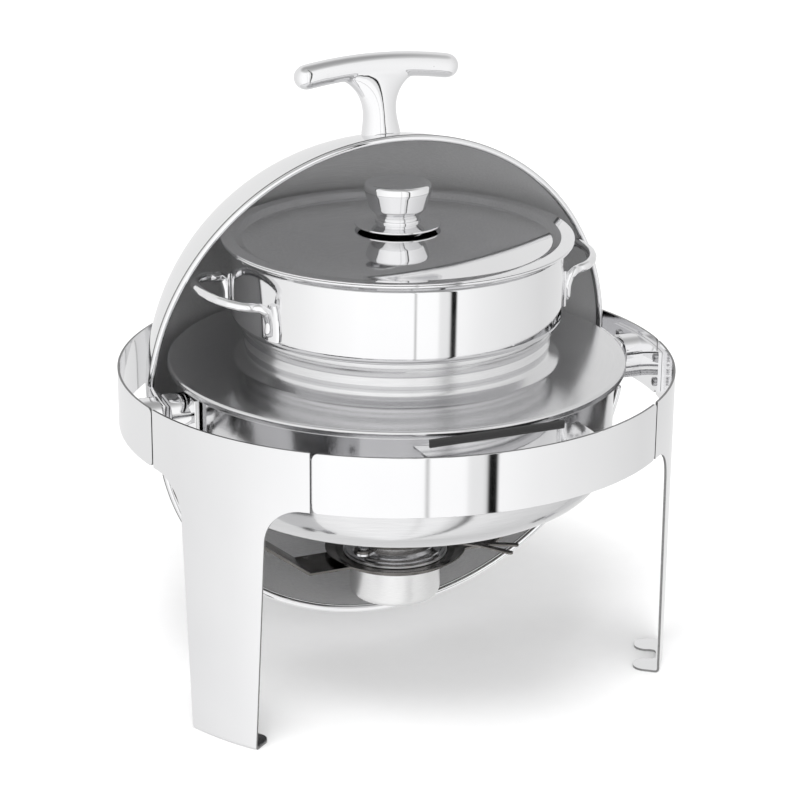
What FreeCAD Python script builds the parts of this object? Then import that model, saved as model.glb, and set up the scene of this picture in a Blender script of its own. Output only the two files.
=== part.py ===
import FreeCAD, Part

import os
import re

import Sketcher
from FreeCAD import Placement, Rotation, Vector

# Round roll-top chafing dish, in millimetres.
# +Z is up, the front is -Y, and the origin is on the ground at the ring frame's axis.
# The lid rolls about the pivot axis, which runs along X. It is modelled open.

SIZES = {
    # fits
    "close_fit": (0.05, "radial clearance of close-fitting screws, rivets and seats"),
    "touch_gap": (0.1, "space between neighbouring pieces that rest on each other"),
    "overcut": (5, "how far a cutting tool runs past the faces it cuts"),
    # ring frame and legs
    "ring_radius": (235, "outside of the ring frame"),
    "ring_wall": (2, "sheet of the ring frame and legs"),
    "band_bottom": (214, "lower edge of the ring band"),
    "band_top": (263.3, "upper edge of the ring band"),
    "leg_band_angle": (19.95, "half the angle of a leg's head along the ring"),
    "strip_angle": (39.75, "half the angle of a ring strip"),
    "leg_spacing": (120, "angle from one leg to the next"),
    "leg_top_width": (44, "half width of a leg under its head"),
    "leg_foot_width": (33.3, "half width of a leg at the ground"),
    "leg_fillet": (31, "round between a leg and its head"),
    "foot_reach": (24, "how far a foot tab turns inwards"),
    "foot_slot_width": (10, "half width of the slot in a foot tab"),
    "foot_slot_depth": (19, "depth of the slot in a foot tab"),
    "foot_round": (10, "round at the end of each foot prong"),
    # plates and screws inside the ring
    "plate_wall": (3, "joint plates and pivot brackets"),
    "plate_gap": (0.2, "space between the ring and a plate"),
    "plate_bottom": (221, "lower edge of the joint plates"),
    "plate_top": (257, "upper edge of the joint plates"),
    "seam_plate_angle": (5, "half the angle of a joint plate"),
    "bracket_angle": (11, "half the angle of a pivot bracket"),
    "bracket_turn": (87.5, "where a pivot bracket is centred, from the front"),
    "screw_shank": (2, "radius of a frame screw's shank"),
    "screw_hole": (2.1, "radius of a hole for a frame screw"),
    "screw_head": (4, "radius of a frame screw's head"),
    "screw_head_height": (2.4, "height of a frame screw's head"),
    "screw_head_gap": (0.06, "space between a frame screw's flat head and the curved plate under it"),
    # front ledge
    "ledge_width": (71.5, "half width of the front ledge"),
    "ledge_chord": (194.6, "distance of the ledge's straight inner edge from the middle"),
    "ledge_top": (263, "upper face of the ledge"),
    "ledge_wall": (2, "sheet of the ledge"),
    "ledge_drop": (22, "height of the ledge's turned-down flange"),
    # pivots
    "pivot_height": (242, "height of the lid's pivot axis"),
    "pin_radius": (5, "lid pivot pins"),
    "pin_bore": (5.05, "bores that hold the pivot pins"),
    "pin_inner": (192.2, "inner end of a pivot pin"),
    "pin_outer": (231.4, "outer end of a pivot pin"),
    "outer_boss_radius": (16, "boss between the ring and the lid"),
    "outer_boss_face": (213.3, "inner face of the outer boss"),
    "inner_boss_radius": (17, "boss between the lid and the pan"),
    "inner_boss_face": (205.8, "outer face of the inner boss"),
    "hanger_inner": (184.4, "inner face of a pan hanger plate"),
    "hanger_outer": (188.4, "outer face of a pan hanger plate"),
    "hanger_width": (21, "half width of a pan hanger plate"),
    "hanger_bottom": (203, "lower edge of a pan hanger plate"),
    "hanger_top": (257.8, "upper edge of a pan hanger plate"),
    "washer_radius": (11, "pivot washers"),
    "washer_wall": (1, "thickness of a pivot washer"),
    "stop_pin_radius": (2.5, "lid stop pins"),
    "stop_pin_orbit": (20.5, "distance of a stop pin from the pivot axis"),
    "stop_pin_angle": (238.5, "angle of a stop pin about the pivot axis, from +Y"),
    "stop_pin_inner": (208.7, "inner end of a stop pin"),
    "stop_pin_outer": (229.2, "outer end of a stop pin"),
    # lid
    "lid_radius": (212, "outside of the lid's dome"),
    "lid_wall": (1.5, "sheet of the dome"),
    "lid_open_angle": (82.9, "how far the lid is rolled open"),
    "lid_front_rise": (29, "height of the front rim above the pivot axis"),
    "lid_rear_drop": (10, "depth of the rear rim below the pivot axis"),
    "lid_ear_reach": (13, "how far the ear stands in front of the pivot axis"),
    "front_bead": (2.5, "radius of the rolled front rim"),
    "rear_bead": (3, "radius of the rolled rear rim"),
    "rear_bead_radius": (213.5, "radius of the rear rim's centre line"),
    "rear_bead_start": (8, "angle from the pivot at which the rear bead starts"),
    "ear_hole": (6, "hole in the dome for the pivot pin"),
    "ear_plate_inner": (206.2, "inner face of an ear plate"),
    "ear_plate_outer": (208.2, "outer face of an ear plate"),
    "ear_plate_front": (11, "reach of an ear plate in front of the pivot axis, lid closed"),
    "ear_plate_rear": (20, "reach of an ear plate behind the pivot axis, lid closed"),
    "ear_plate_drop": (8, "reach of an ear plate below the pivot axis, lid closed"),
    "ear_plate_rise": (22, "reach of an ear plate above the pivot axis, lid closed"),
    # lid handle
    "handle_lean": (73, "angle of the handle from the top of the closed dome to the front"),
    "stem_base_width": (17, "half width of the stem where it meets the dome"),
    "stem_base_depth": (14.5, "half depth of the stem where it meets the dome"),
    "stem_neck_width": (14, "half width of the stem's neck"),
    "stem_neck_depth": (12.5, "half depth of the stem's neck"),
    "stem_head_depth": (8.5, "half depth of the stem inside the bar"),
    "stem_neck_height": (18, "height above the dome where the stem starts to spread"),
    "stem_flare_width": (30, "how far the stem spreads on each side"),
    "stem_flare_height": (30, "height over which the stem spreads"),
    "bar_height": (56, "height of the bar's centre line above the dome"),
    "bar_radius": (10, "grip bar"),
    "bar_half_length": (74.5, "half length of the grip bar with its round ends"),
    "bar_arch": (380, "radius of the arch that the bar is bent to"),
    "handle_screw_offset": (7, "handle screws, either side of the stem's axis"),
    "handle_screw_shank": (2.5, "radius of a handle screw's shank"),
    "handle_screw_head": (4.5, "radius of a handle screw's head"),
    "handle_screw_head_height": (3, "height of a handle screw's head"),
    "handle_screw_length": (24, "length of a handle screw's shank"),
    "handle_head_gap": (1.4, "space between the dome and a handle screw's head"),
    "backing_gap": (0.9, "space between the dome and the handle's backing plate"),
    "backing_wall": (0.5, "thickness of the handle's backing plate"),
    "backing_length": (13, "half length of the handle's backing plate"),
    "backing_width": (6, "half width of the handle's backing plate"),
    # water pan
    "pan_radius": (184, "outside of the water pan's wall"),
    "pan_wall": (1.4, "sheet of the water pan"),
    "pan_bottom": (152, "underside of the water pan"),
    "pan_top": (262.9, "top of the pan's rim"),
    "pan_flange": (190, "outside of the pan's rim"),
    "pan_round": (36, "round between the pan's wall and bottom"),
    # adapter plate
    "plate_radius": (193.4, "outside of the adapter plate"),
    "plate_edge_bottom": (263.2, "lower edge of the adapter plate's rolled edge"),
    "plate_face": (269.2, "upper face of the adapter plate"),
    "plate_edge_round": (2.9, "round of the adapter plate's edge"),
    "plate_sheet": (1.5, "sheet of the adapter plate"),
    "collar_foot": (136, "radius where the collar starts to rise"),
    "collar_waist": (126.5, "outside of the collar's narrow waist"),
    "collar_lip_radius": (128.6, "outside of the lip round the collar"),
    "collar_lip": (281.5, "height of the lip round the collar"),
    "collar_groove": (290.5, "height of the groove over the lip"),
    "collar_outer": (130, "outside of the collar's upper band"),
    "collar_line": (0.8, "depth of the fine line round the upper band"),
    "collar_top": (303, "top of the collar"),
    "collar_inner": (123, "opening in the adapter plate"),
    # pot
    "pot_radius": (139, "outside of the pot's wall"),
    "pot_wall": (1.4, "sheet of the pot"),
    "pot_lower_radius": (119, "outside of the pot's lower body"),
    "pot_seat": (303.1, "underside of the pot's shoulder"),
    "pot_bottom": (196, "underside of the pot"),
    "pot_shoulder_round": (7, "round of the pot's shoulder"),
    "pot_lower_round": (18, "round of the pot's bottom"),
    "pot_rim_radius": (147.4, "outside of the pot's flared rim"),
    "pot_rim_bottom": (366, "top of the pot's wall, where its rim starts to flare"),
    "pot_rim_top": (372.4, "top of the pot's rim"),
    "handle_angle": (20.5, "angle between a pot handle's foot and its middle"),
    "handle_foot_angle": (4.4, "half the angle of a handle's foot on the wall"),
    "handle_foot_wall": (3, "thickness of a handle's foot"),
    "handle_foot_bottom": (309, "lower end of a handle's foot"),
    "handle_foot_top": (341, "upper end of a handle's foot"),
    "handle_rod": (4, "radius of a handle's rod"),
    "handle_rod_height": (335, "height of a handle's rod at the wall"),
    "handle_corner": (34, "bend of a handle's rod"),
    "handle_half_width": (49, "half the distance between a handle's arms"),
    "handle_reach": (35.6, "how far a handle's rod stands out from the wall"),
    "handle_rise": (12, "upward slope of a handle"),
    # pot lid
    "cover_radius": (147, "outside of the pot lid"),
    "cover_wall": (1.2, "sheet of the pot lid"),
    "cover_rim_bottom": (372.7, "underside of the pot lid's rim"),
    "cover_rim_inner": (137, "inner edge of the pot lid's flat rim"),
    "cover_groove_radius": (129, "groove between the pot lid's rim and its dome"),
    "cover_groove": (370.5, "upper face of the pot lid in the groove"),
    "cover_crown": (379.5, "upper face of the pot lid at the middle"),
    "cover_seat": (24, "flat middle of the pot lid, under the knob"),
    "knob_base_radius": (22, "foot of the knob"),
    "knob_base_height": (2, "height of the knob's foot"),
    "knob_disc_radius": (36, "heat guard disc of the knob"),
    "knob_disc_wall": (3.5, "thickness of the heat guard disc"),
    "knob_neck": (17.5, "narrow lower end of the grip"),
    "knob_neck_height": (4, "height of the grip's straight neck"),
    "knob_waist": (24, "grip where its taper starts, over the neck"),
    "knob_waist_height": (11, "height over the disc where the grip's taper starts"),
    "knob_grip": (28, "wide upper end of the grip"),
    "knob_top": (418, "top of the knob"),
    "knob_top_round": (4, "round of the grip's upper edge"),
    "knob_screw_shank": (3, "radius of the knob screw's shank"),
    "knob_screw_head": (7, "radius of the knob screw's head"),
    "knob_screw_head_height": (3.5, "height of the knob screw's head"),
    # burner
    "strap_top": (88, "upper face of the burner strap's middle"),
    "strap_wall": (2, "sheet of the burner strap"),
    "strap_width": (19, "half width of the burner strap"),
    "strap_bend": (87.5, "distance of the strap's first bend from the middle"),
    "strap_side_bottom": (166, "height where the strap turns upright"),
    "strap_side_top": (222, "upper end of the strap"),
    "strap_ring": (52, "radius of the strap's middle ring"),
    "cup_radius": (39.3, "outside of the fuel cup"),
    "cup_wall": (1.2, "sheet of the fuel cup"),
    "cup_bottom": (50, "underside of the fuel cup"),
    "cup_round": (7, "round between the cup's wall and bottom"),
    "cup_hole": (40, "hole in the strap for the cup"),
    "saucer_radius": (61, "outside of the drip saucer"),
    "saucer_wall": (1.2, "sheet of the drip saucer"),
    "saucer_rise": (4, "height of the drip saucer's rim above its floor"),
    "collar_ring_radius": (44, "foot of the burner's ribbed collar"),
    "collar_ring_top": (103, "top of the burner's ribbed collar"),
    "rib_step": (2.7, "width and height of each rib of the burner's collar"),
    "burner_mouth": (31, "inside of the burner's collar"),
    "cover_disc": (36.5, "snuffer cover"),
    "cover_disc_wall": (1.6, "thickness of the snuffer cover"),
    "snuffer_gap": (0.4, "space between the burner's collar and the snuffer cover"),
    "ear_wall": (2, "thickness of the ear under the snuffer rivet"),
    "rivet_head": (4.5, "radius of the snuffer rivet's head"),
    "rivet_head_height": (1.5, "height of the snuffer rivet's head"),
    "rivet_tail": (4, "radius of the snuffer rivet's tail"),
    "rivet_x": (-40, "snuffer rivet, across"),
    "rivet_y": (-24, "snuffer rivet, front to back"),
    "rivet_radius": (2.5, "snuffer rivet's shank"),
    "ear_radius": (8, "ears round the snuffer rivet"),
    "lever_turn": (48, "direction of the forked lever from the front"),
    "lever_width": (5, "half width of the lever"),
    "lever_fork": (82, "where the lever forks, from the burner's axis"),
    "lever_reach": (106, "length of the lever from the burner's axis"),
    "prong_radius": (2.6, "half width of a prong"),
    "prong_spread": (9, "half the distance between the prongs' tips"),
}

FULL_TURN = 360
X_AXIS = Vector(1, 0, 0)
Y_AXIS = Vector(0, 1, 0)
Z_AXIS = Vector(0, 0, 1)
BIG = 600

doc = FreeCAD.newDocument("chafing_dish")
sheet = doc.addObject("Spreadsheet::Sheet", "sizes")
for row, (alias, (size, meaning)) in enumerate(SIZES.items(), start=1):
    sheet.set(f"A{row}", meaning)
    sheet.set(f"B{row}", str(size))
    sheet.setAlias(f"B{row}", alias)
doc.recompute()

nodes = []


# ---------------------------------------------------------------- helpers

def formula(text):
    """The expression with every size in it read from the sheet."""
    def named(word):
        return f"sizes.{word.group()}" if word.group() in SIZES else word.group()

    return re.sub(r"[a-z_]+", named, text)


def number(text):
    """The value of a formula, from the sheet."""
    value = sheet.evalExpression(formula(str(text)))
    return float(getattr(value, "Value", value))


def bind(thing, **sizes):
    """Bind each property to a formula of the sheet's sizes."""
    for name, text in sizes.items():
        thing.setExpression(name, formula(str(text)))
    return thing


def place(thing, x=0, y=0, z=0, axis=Z_AXIS, angle=0):
    """Put a thing at a position, turned about an axis through its own origin."""
    thing.Placement = Placement(Vector(number(x), number(y), number(z)), Rotation(axis, number(angle)))
    return thing


def node(thing, label):
    """Mark a thing as a finished sub-part with a name of its own."""
    thing.Label = label
    nodes.append(thing)
    return thing


def add(kind, **sizes):
    """A Part primitive with its sizes bound to the sheet."""
    return bind(doc.addObject(f"Part::{kind}", kind), **sizes)


def cylinder(radius, low, high, x=0, y=0):
    """An upright cylinder between two heights."""
    return place(add("Cylinder", Radius=radius, Height=f"({high}) - ({low})"), x, y, low)


def x_cylinder(radius, start, end, y=0, z="pivot_height"):
    """A cylinder along X."""
    rod = add("Cylinder", Radius=radius, Height=f"({end}) - ({start})")
    return place(rod, start, y, z, Y_AXIS, 90)


def block(x_low, x_high, y_low, y_high, z_low, z_high):
    """A box between two corners."""
    box = add("Box", Length=f"({x_high}) - ({x_low})", Width=f"({y_high}) - ({y_low})",
              Height=f"({z_high}) - ({z_low})")
    return place(box, x_low, y_low, z_low)


def fuse(*things):
    """One shape from several."""
    joined = doc.addObject("Part::MultiFuse", "Fuse")
    joined.Shapes = list(things)
    return joined


def cut(base, *tools):
    """The base with the tools taken away."""
    result = doc.addObject("Part::Cut", "Cut")
    result.Base = base
    result.Tool = tools[0] if len(tools) == 1 else fuse(*tools)
    return result


def common(first, second):
    """What two shapes share."""
    result = doc.addObject("Part::MultiCommon", "Common")
    result.Shapes = [first, second]
    return result


def arc_plate(inner, outer, low, high, half_angle, turn=0):
    """A plate that follows the ring, centred at a turn from the front."""
    pie = add("Cylinder", Radius=outer, Height=f"({high}) - ({low})", Angle=f"2 * ({half_angle})")
    place(pie, z=low, angle=f"{turn} - 90 - ({half_angle})")
    return cut(pie, cylinder(inner, f"{low} - overcut", f"{high} + overcut"))


def plane_of(body, role):
    """One of a body's own origin planes."""
    return next(plane for plane in body.Origin.OriginFeatures if plane.Role == role)


def new_sketch(body, role):
    """A sketch on one of a body's origin planes."""
    sketch = body.newObject("Sketcher::SketchObject", "Outline")
    sketch.AttachmentSupport = [(plane_of(body, role), "")]
    sketch.MapMode = "FlatFace"
    return sketch


def outline(sketch, corners):
    """A closed outline whose corners are pairs of formulas."""
    points = [Vector(number(across), number(up), 0) for across, up in corners]
    for start, end in zip(points, points[1:] + points[:1]):
        sketch.addGeometry(Part.LineSegment(start, end))
    last = len(corners) - 1
    for line in range(len(corners)):
        following = 0 if line == last else line + 1
        sketch.addConstraint(Sketcher.Constraint("Coincident", line, 2, following, 1))
    for line, (across, up) in enumerate(corners):
        for direction, text in (("DistanceX", across), ("DistanceY", up)):
            index = sketch.addConstraint(Sketcher.Constraint(direction, -1, 1, line, 1, number(text)))
            sketch.setExpression(f"Constraints[{index}]", formula(str(text)))


def revolved(corners, rounds=()):
    """A body of revolution about Z from an outline of (radius, height) corners.

    Each round is a radius and the (radius, height) corners that it rounds off.
    """
    body = doc.addObject("PartDesign::Body", "Body")
    sketch = new_sketch(body, "XZ_Plane")
    outline(sketch, corners)
    turned = body.newObject("PartDesign::Revolution", "Revolution")
    turned.Profile = sketch
    turned.ReferenceAxis = (sketch, ["V_Axis"])
    turned.Angle = FULL_TURN
    doc.recompute()
    for radius, rims in rounds:
        round_edges(body, radius, [rim_name(body, *rim) for rim in rims])
    return body


def rim_name(body, radius, height):
    """The name of the circular edge at a radius and height."""
    for index, edge in enumerate(body.Tip.Shape.Edges, start=1):
        curve = edge.Curve
        if not isinstance(curve, Part.Circle):
            continue
        if abs(curve.Radius - number(radius)) < 0.01 and abs(curve.Center.z - number(height)) < 0.01:
            return f"Edge{index}"
    raise ValueError(f"no edge at radius {radius}, height {height}")


def round_edges(body, radius, names):
    """Fillet the named edges of a body's last feature."""
    base = body.Tip
    fillet = body.newObject("PartDesign::Fillet", "Fillet")
    fillet.Base = (base, names)
    fillet.setExpression("Radius", formula(str(radius)))
    doc.recompute()


def padded(role, corners, length, symmetric=True):
    """A flat outline padded from one of its body's origin planes."""
    body = doc.addObject("PartDesign::Body", "Body")
    sketch = new_sketch(body, role)
    outline(sketch, corners)
    pad = body.newObject("PartDesign::Pad", "Pad")
    pad.Profile = sketch
    pad.setExpression("Length", formula(str(length)))
    if symmetric:
        pad.SideType = "Symmetric"
    doc.recompute()
    return body


def upright_edges(body, corners):
    """The names of the upright edges that stand at the given corners."""
    wanted = [(number(across), number(along)) for across, along in corners]
    names = []
    for index, edge in enumerate(body.Tip.Shape.Edges, start=1):
        first, last = edge.Vertexes[0].Point, edge.Vertexes[-1].Point
        if first.distanceToPoint(Vector(last.x, last.y, first.z)) > 0.01:
            continue
        if any(abs(first.x - across) < 0.01 and abs(first.y - along) < 0.01 for across, along in wanted):
            names.append(f"Edge{index}")
    return names


def group(master, placements):
    """Equal copies of a master as separate solids of one sub-part."""
    doc.recompute()
    copies = []
    for placement in placements:
        copy = master.Shape.copy()
        copy.Placement = placement.multiply(master.Placement)
        copies.append(copy)
    feature = doc.addObject("Part::Feature", "Group")
    feature.Shape = Part.makeCompound(copies)
    return feature


def about_z(angle):
    """A turn about the ring's axis."""
    return Placement(Vector(), Rotation(Z_AXIS, angle))


def mirrored_pair():
    """The right side as it is, and the left side as its half turn."""
    return [about_z(0), about_z(180)]


# ---------------------------------------------------------------- ring frame

def leg(label, turn):
    """A T-shaped panel of the ring with a slotted foot tab turned inwards."""
    head = "(ring_radius * sin(leg_band_angle) + 2)"
    half_outline = [("leg_foot_width", "0"), ("leg_top_width", "band_bottom"),
                    (head, "band_bottom"), (head, "band_top")]
    mirrored = [(f"-{across}", up) for across, up in reversed(half_outline)]
    panel = padded("XZ_Plane", half_outline + mirrored, "2 * ring_radius + 20")
    inside_corners = []
    for index, edge in enumerate(panel.Tip.Shape.Edges, start=1):
        ends = [vertex.Point for vertex in edge.Vertexes]
        at_band = all(abs(end.z - number("band_bottom")) < 0.01 for end in ends)
        beside_leg = max(abs(end.x) for end in ends) < number("leg_top_width + 1")
        if at_band and beside_leg:
            inside_corners.append(f"Edge{index}")
    round_edges(panel, "leg_fillet", inside_corners)
    wall = arc_plate("ring_radius - ring_wall", "ring_radius", "0", "band_top", "leg_band_angle")
    upright = common(wall, panel)
    tab_end = "-(ring_radius - foot_reach)"
    slot_end = "-(ring_radius - foot_reach + foot_slot_depth)"
    tab_outline = [("-leg_foot_width", "-ring_radius"), ("leg_foot_width", "-ring_radius"),
                   ("leg_foot_width", tab_end), ("foot_slot_width", tab_end),
                   ("foot_slot_width", slot_end), ("-foot_slot_width", slot_end),
                   ("-foot_slot_width", tab_end), ("-leg_foot_width", tab_end)]
    tab = padded("XY_Plane", tab_outline, "ring_wall", symmetric=False)
    prong_corners = [(f"{side}{across}", tab_end) for side in ("", "-")
                     for across in ("leg_foot_width", "foot_slot_width")]
    round_edges(tab, "foot_round", upright_edges(tab, prong_corners))
    foot = common(tab, cylinder("ring_radius", "-overcut", "ring_wall + overcut"))
    node(place(fuse(upright, foot), angle=turn), label)


def ring_strip(label, turn):
    """A strip of the ring between two legs."""
    strip = arc_plate("ring_radius - ring_wall", "ring_radius", "band_bottom", "band_top", "strip_angle")
    node(place(strip, angle=turn), label)


PLATE_OUTER = "(ring_radius - ring_wall - plate_gap)"
PLATE_INNER = "(ring_radius - ring_wall - plate_gap - plate_wall)"
SEAM_TURNS = [-40, 40, 160, 200]
BRACKET_SCREW_ANGLE = 9
SEAM_SCREW_ANGLE = 3
SCREW_HEIGHTS = ["plate_bottom + 7", "plate_top - 7"]
LEDGE_SCREW_TURNS = [-12, 12]
LEDGE_SCREW_HEIGHT = "ledge_top - 12"


def radial_places(turns, heights):
    """Placements that point a thing along +Z out along the ring's radius, at each turn and height."""
    outwards = Rotation(X_AXIS, 90)
    places = []
    for turn in turns:
        for height in heights:
            lift = Placement(Vector(0, 0, number(height)), outwards)
            places.append(about_z(turn).multiply(lift))
    return places


def screw_turns(centre, spread):
    """The two turns at which a plate's screws stand."""
    return [centre - spread, centre + spread]


def holes_at(places):
    """Screw holes through the plates."""
    bore = add("Cylinder", Radius="screw_hole", Height="12")
    place(bore, z=f"{PLATE_INNER} - 4")
    return group(bore, places)


def seam_plates():
    """The plates that join the ring strips to the legs."""
    plates = [arc_plate(PLATE_INNER, PLATE_OUTER, "plate_bottom", "plate_top", "seam_plate_angle", turn)
              for turn in SEAM_TURNS]
    turns = [turn for centre in SEAM_TURNS for turn in screw_turns(centre, SEAM_SCREW_ANGLE)]
    node(cut(fuse(*plates), holes_at(radial_places(turns, SCREW_HEIGHTS))), "ring_joint_plates")


def pivot_bracket(label, side):
    """A curved plate inside the ring with a boss for the lid's pivot pin."""
    turn = number("bracket_turn")
    plate = arc_plate(PLATE_INNER, PLATE_OUTER, "plate_bottom", "plate_top", "bracket_angle", turn)
    boss = x_cylinder("outer_boss_radius", "outer_boss_face", f"{PLATE_INNER} + 1")
    bore = x_cylinder("pin_bore", "outer_boss_face - overcut", "ring_radius")
    holes = holes_at(radial_places(screw_turns(turn, BRACKET_SCREW_ANGLE), SCREW_HEIGHTS))
    bracket = cut(fuse(plate, boss), bore, holes)
    node(mirror_to(bracket, side), label)


def mirror_to(thing, side):
    """A right-hand piece as it is, or its mirror image for the left side."""
    if side == "right":
        return thing
    mirror = doc.addObject("Part::Mirroring", "Mirror")
    mirror.Source = thing
    mirror.Base = Vector(0, 0, 0)
    mirror.Normal = X_AXIS
    return mirror


def inside_screw(plate_face, length):
    """A screw along +Z with its head under a curved plate's face."""
    under_head = f"({plate_face} - screw_head_gap)"
    head = cylinder("screw_head", f"{under_head} - screw_head_height", under_head)
    shank = cylinder("screw_shank", under_head, f"{plate_face} + {length}")
    return fuse(head, shank)


def frame_screws():
    """The screws of the joint plates and pivot brackets."""
    screw = inside_screw(PLATE_INNER, "plate_wall")
    turn = number("bracket_turn")
    seam_turns = [each for centre in SEAM_TURNS for each in screw_turns(centre, SEAM_SCREW_ANGLE)]
    bracket_turns = screw_turns(turn, BRACKET_SCREW_ANGLE) + screw_turns(-turn, BRACKET_SCREW_ANGLE)
    node(group(screw, radial_places(seam_turns + bracket_turns, SCREW_HEIGHTS)), "frame_screws")


def front_ledge():
    """The shelf at the front that the closed lid comes down on."""
    top = common(cylinder(PLATE_OUTER, "ledge_top - ledge_wall", "ledge_top"),
                 block("-ledge_width", "ledge_width", "-ring_radius", "-ledge_chord",
                       "ledge_top - ledge_wall", "ledge_top"))
    flange = common(arc_plate(f"{PLATE_OUTER} - ledge_wall", PLATE_OUTER, "ledge_top - ledge_drop",
                              "ledge_top", "strip_angle"),
                    block("-ledge_width", "ledge_width", "-ring_radius", "-ledge_chord",
                          "ledge_top - ledge_drop", "ledge_top"))
    places = radial_places(LEDGE_SCREW_TURNS, [LEDGE_SCREW_HEIGHT])
    node(cut(fuse(top, flange), holes_at(places)), "front_ledge")


def ledge_screws():
    """The screws that hold the ledge to the ring."""
    screw = inside_screw(f"({PLATE_OUTER} - ledge_wall)", "ledge_wall")
    node(group(screw, radial_places(LEDGE_SCREW_TURNS, [LEDGE_SCREW_HEIGHT])), "ledge_screws")


# ---------------------------------------------------------------- pivots

STRAP_SCREW_OFFSETS = [-10, 10]
STRAP_SCREW_HEIGHT = 212


def pan_hanger(label, side):
    """The plate and boss that carry the pan on the pivot pin."""
    plate = block("hanger_inner", "hanger_outer", "-hanger_width", "hanger_width",
                  "hanger_bottom", "hanger_top")
    boss = x_cylinder("inner_boss_radius", "hanger_outer - 1", "inner_boss_face")
    bore = x_cylinder("pin_bore", "pin_inner - 0.2", "inner_boss_face + overcut")
    holes = [x_cylinder("screw_hole", "hanger_inner - overcut", "hanger_outer + overcut", across,
                        STRAP_SCREW_HEIGHT)
             for across in STRAP_SCREW_OFFSETS]
    node(mirror_to(cut(fuse(plate, boss), bore, *holes), side), label)


def pivot_pin(label, side):
    """The pin that the lid turns on."""
    node(mirror_to(x_cylinder("pin_radius", "pin_inner", "pin_outer"), side), label)


def pivot_washers():
    """The washers between the lid's ears and the outer bosses."""
    outer_face = "(outer_boss_face - close_fit)"
    washer = cut(x_cylinder("washer_radius", f"{outer_face} - washer_wall", outer_face),
                 x_cylinder("pin_bore", "outer_boss_face - overcut", "outer_boss_face + overcut"))
    node(group(washer, mirrored_pair()), "pivot_washers")


def lid_stop_pins():
    """The pins that the lid's ears rest on when it is open."""
    across = "stop_pin_orbit * cos(stop_pin_angle)"
    height = "pivot_height + stop_pin_orbit * sin(stop_pin_angle)"
    pin = x_cylinder("stop_pin_radius", "stop_pin_inner", "stop_pin_outer", across, height)
    other = mirror_to(pin, "left")
    doc.recompute()
    pair = doc.addObject("Part::Compound", "Pair")
    pair.Links = [pin, other]
    node(pair, "lid_stop_pins")


# ---------------------------------------------------------------- lid
# Lid pieces are built closed, with the pivot axis through the origin, and rolled open by their Placement.

def roll_open(thing, lean=0):
    """Put a lid piece on the pivot axis and roll it open."""
    return place(thing, z="pivot_height", axis=X_AXIS, angle=f"{lean} - lid_open_angle")


def handle_screw_rods(radius, low, high):
    """Two rods at the handle's screws, along the handle's axis."""
    return [cylinder(radius, low, high, x=f"{side}handle_screw_offset") for side in ("", "-")]


def lid_dome():
    """The rolling dome, with the rim lower at the back and rolled edges."""
    shell = cut(add("Sphere", Radius="lid_radius"), add("Sphere", Radius="lid_radius - lid_wall"))
    below_rear = block(-BIG, BIG, -BIG, BIG, -BIG, "-lid_rear_drop")
    below_front = block(-BIG, BIG, -BIG, "-lid_ear_reach", -BIG, "lid_front_rise")
    trimmed = cut(shell, below_rear, below_front)
    middle = "(lid_radius - lid_wall / 2)"
    front_radius = f"sqrt({middle} ^ 2 - lid_front_rise ^ 2)"
    front_start = f"asin(lid_ear_reach / {front_radius}) / 1 deg"
    front = add("Torus", Radius1=front_radius, Radius2="front_bead", Angle3=f"180 - 2 * {front_start}")
    place(front, z="lid_front_rise", angle=f"180 + {front_start}")
    rear = add("Torus", Radius1="rear_bead_radius", Radius2="rear_bead", Angle3="180 - 2 * rear_bead_start")
    place(rear, z="-lid_rear_drop", angle="rear_bead_start")
    ear_holes = x_cylinder("ear_hole", -BIG / 2, BIG / 2, z=0)
    handle_holes = handle_screw_rods("handle_screw_shank + 0.3", "lid_radius - 2 * overcut",
                                     "lid_radius + 2 * overcut")
    lean = fuse(*handle_holes)
    place(lean, axis=X_AXIS, angle="handle_lean")
    node(roll_open(cut(fuse(trimmed, front, rear), ear_holes, lean)), "lid_dome")


def ear_plate(label, side):
    """The flat plate inside the dome that turns on the pivot pin."""
    plate = block("ear_plate_inner", "ear_plate_outer", "-ear_plate_front", "ear_plate_rear",
                  "-ear_plate_drop", "ear_plate_rise")
    bore = x_cylinder("pin_bore", "ear_plate_inner - overcut", "ear_plate_outer + overcut", z=0)
    drilled = cut(plate, bore)
    mirrored = mirror_to(drilled, side)
    node(roll_open(mirrored), label)


def oval(height, half_width, half_depth):
    """A level oval outline, wider along X, at a height."""
    return place(add("Ellipse", MajorRadius=half_width, MinorRadius=half_depth), z=height)


def handle_stem():
    """The stem: an oval neck that spreads along X in a quarter-round flare."""
    flare_steps = 6
    sections = [oval("lid_radius - 4", "stem_base_width", "stem_base_depth"),
                oval("lid_radius + stem_neck_height / 2", "stem_neck_width + 0.6", "stem_neck_depth + 0.5")]
    for step in range(flare_steps + 1):
        angle = f"({90 * step} / {flare_steps})"
        height = f"lid_radius + stem_neck_height + stem_flare_height * sin({angle})"
        width = f"stem_neck_width + stem_flare_width * (1 - cos({angle}))"
        depth = f"stem_neck_depth + (stem_head_depth - stem_neck_depth) * {step} / {flare_steps}"
        sections.append(oval(height, width, depth))
    stem = doc.addObject("Part::Loft", "Loft")
    stem.Sections = sections
    stem.Solid = True
    stem.Ruled = True
    return stem


def handle_bar():
    """The round bar, arched so that its ends come down towards the dome."""
    half_angle = "((bar_half_length - bar_radius) / bar_arch * 180 / pi)"
    bar = add("Torus", Radius1="bar_arch", Radius2="bar_radius", Angle3=f"2 * {half_angle}")
    place(bar, angle=f"90 - {half_angle}")
    ends = [place(add("Sphere", Radius="bar_radius"), f"{side}bar_arch * sin({half_angle})",
                  f"bar_arch * cos({half_angle})") for side in ("", "-")]
    return place(fuse(bar, *ends), z="lid_radius + bar_height - bar_arch", axis=X_AXIS, angle=90)


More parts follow.
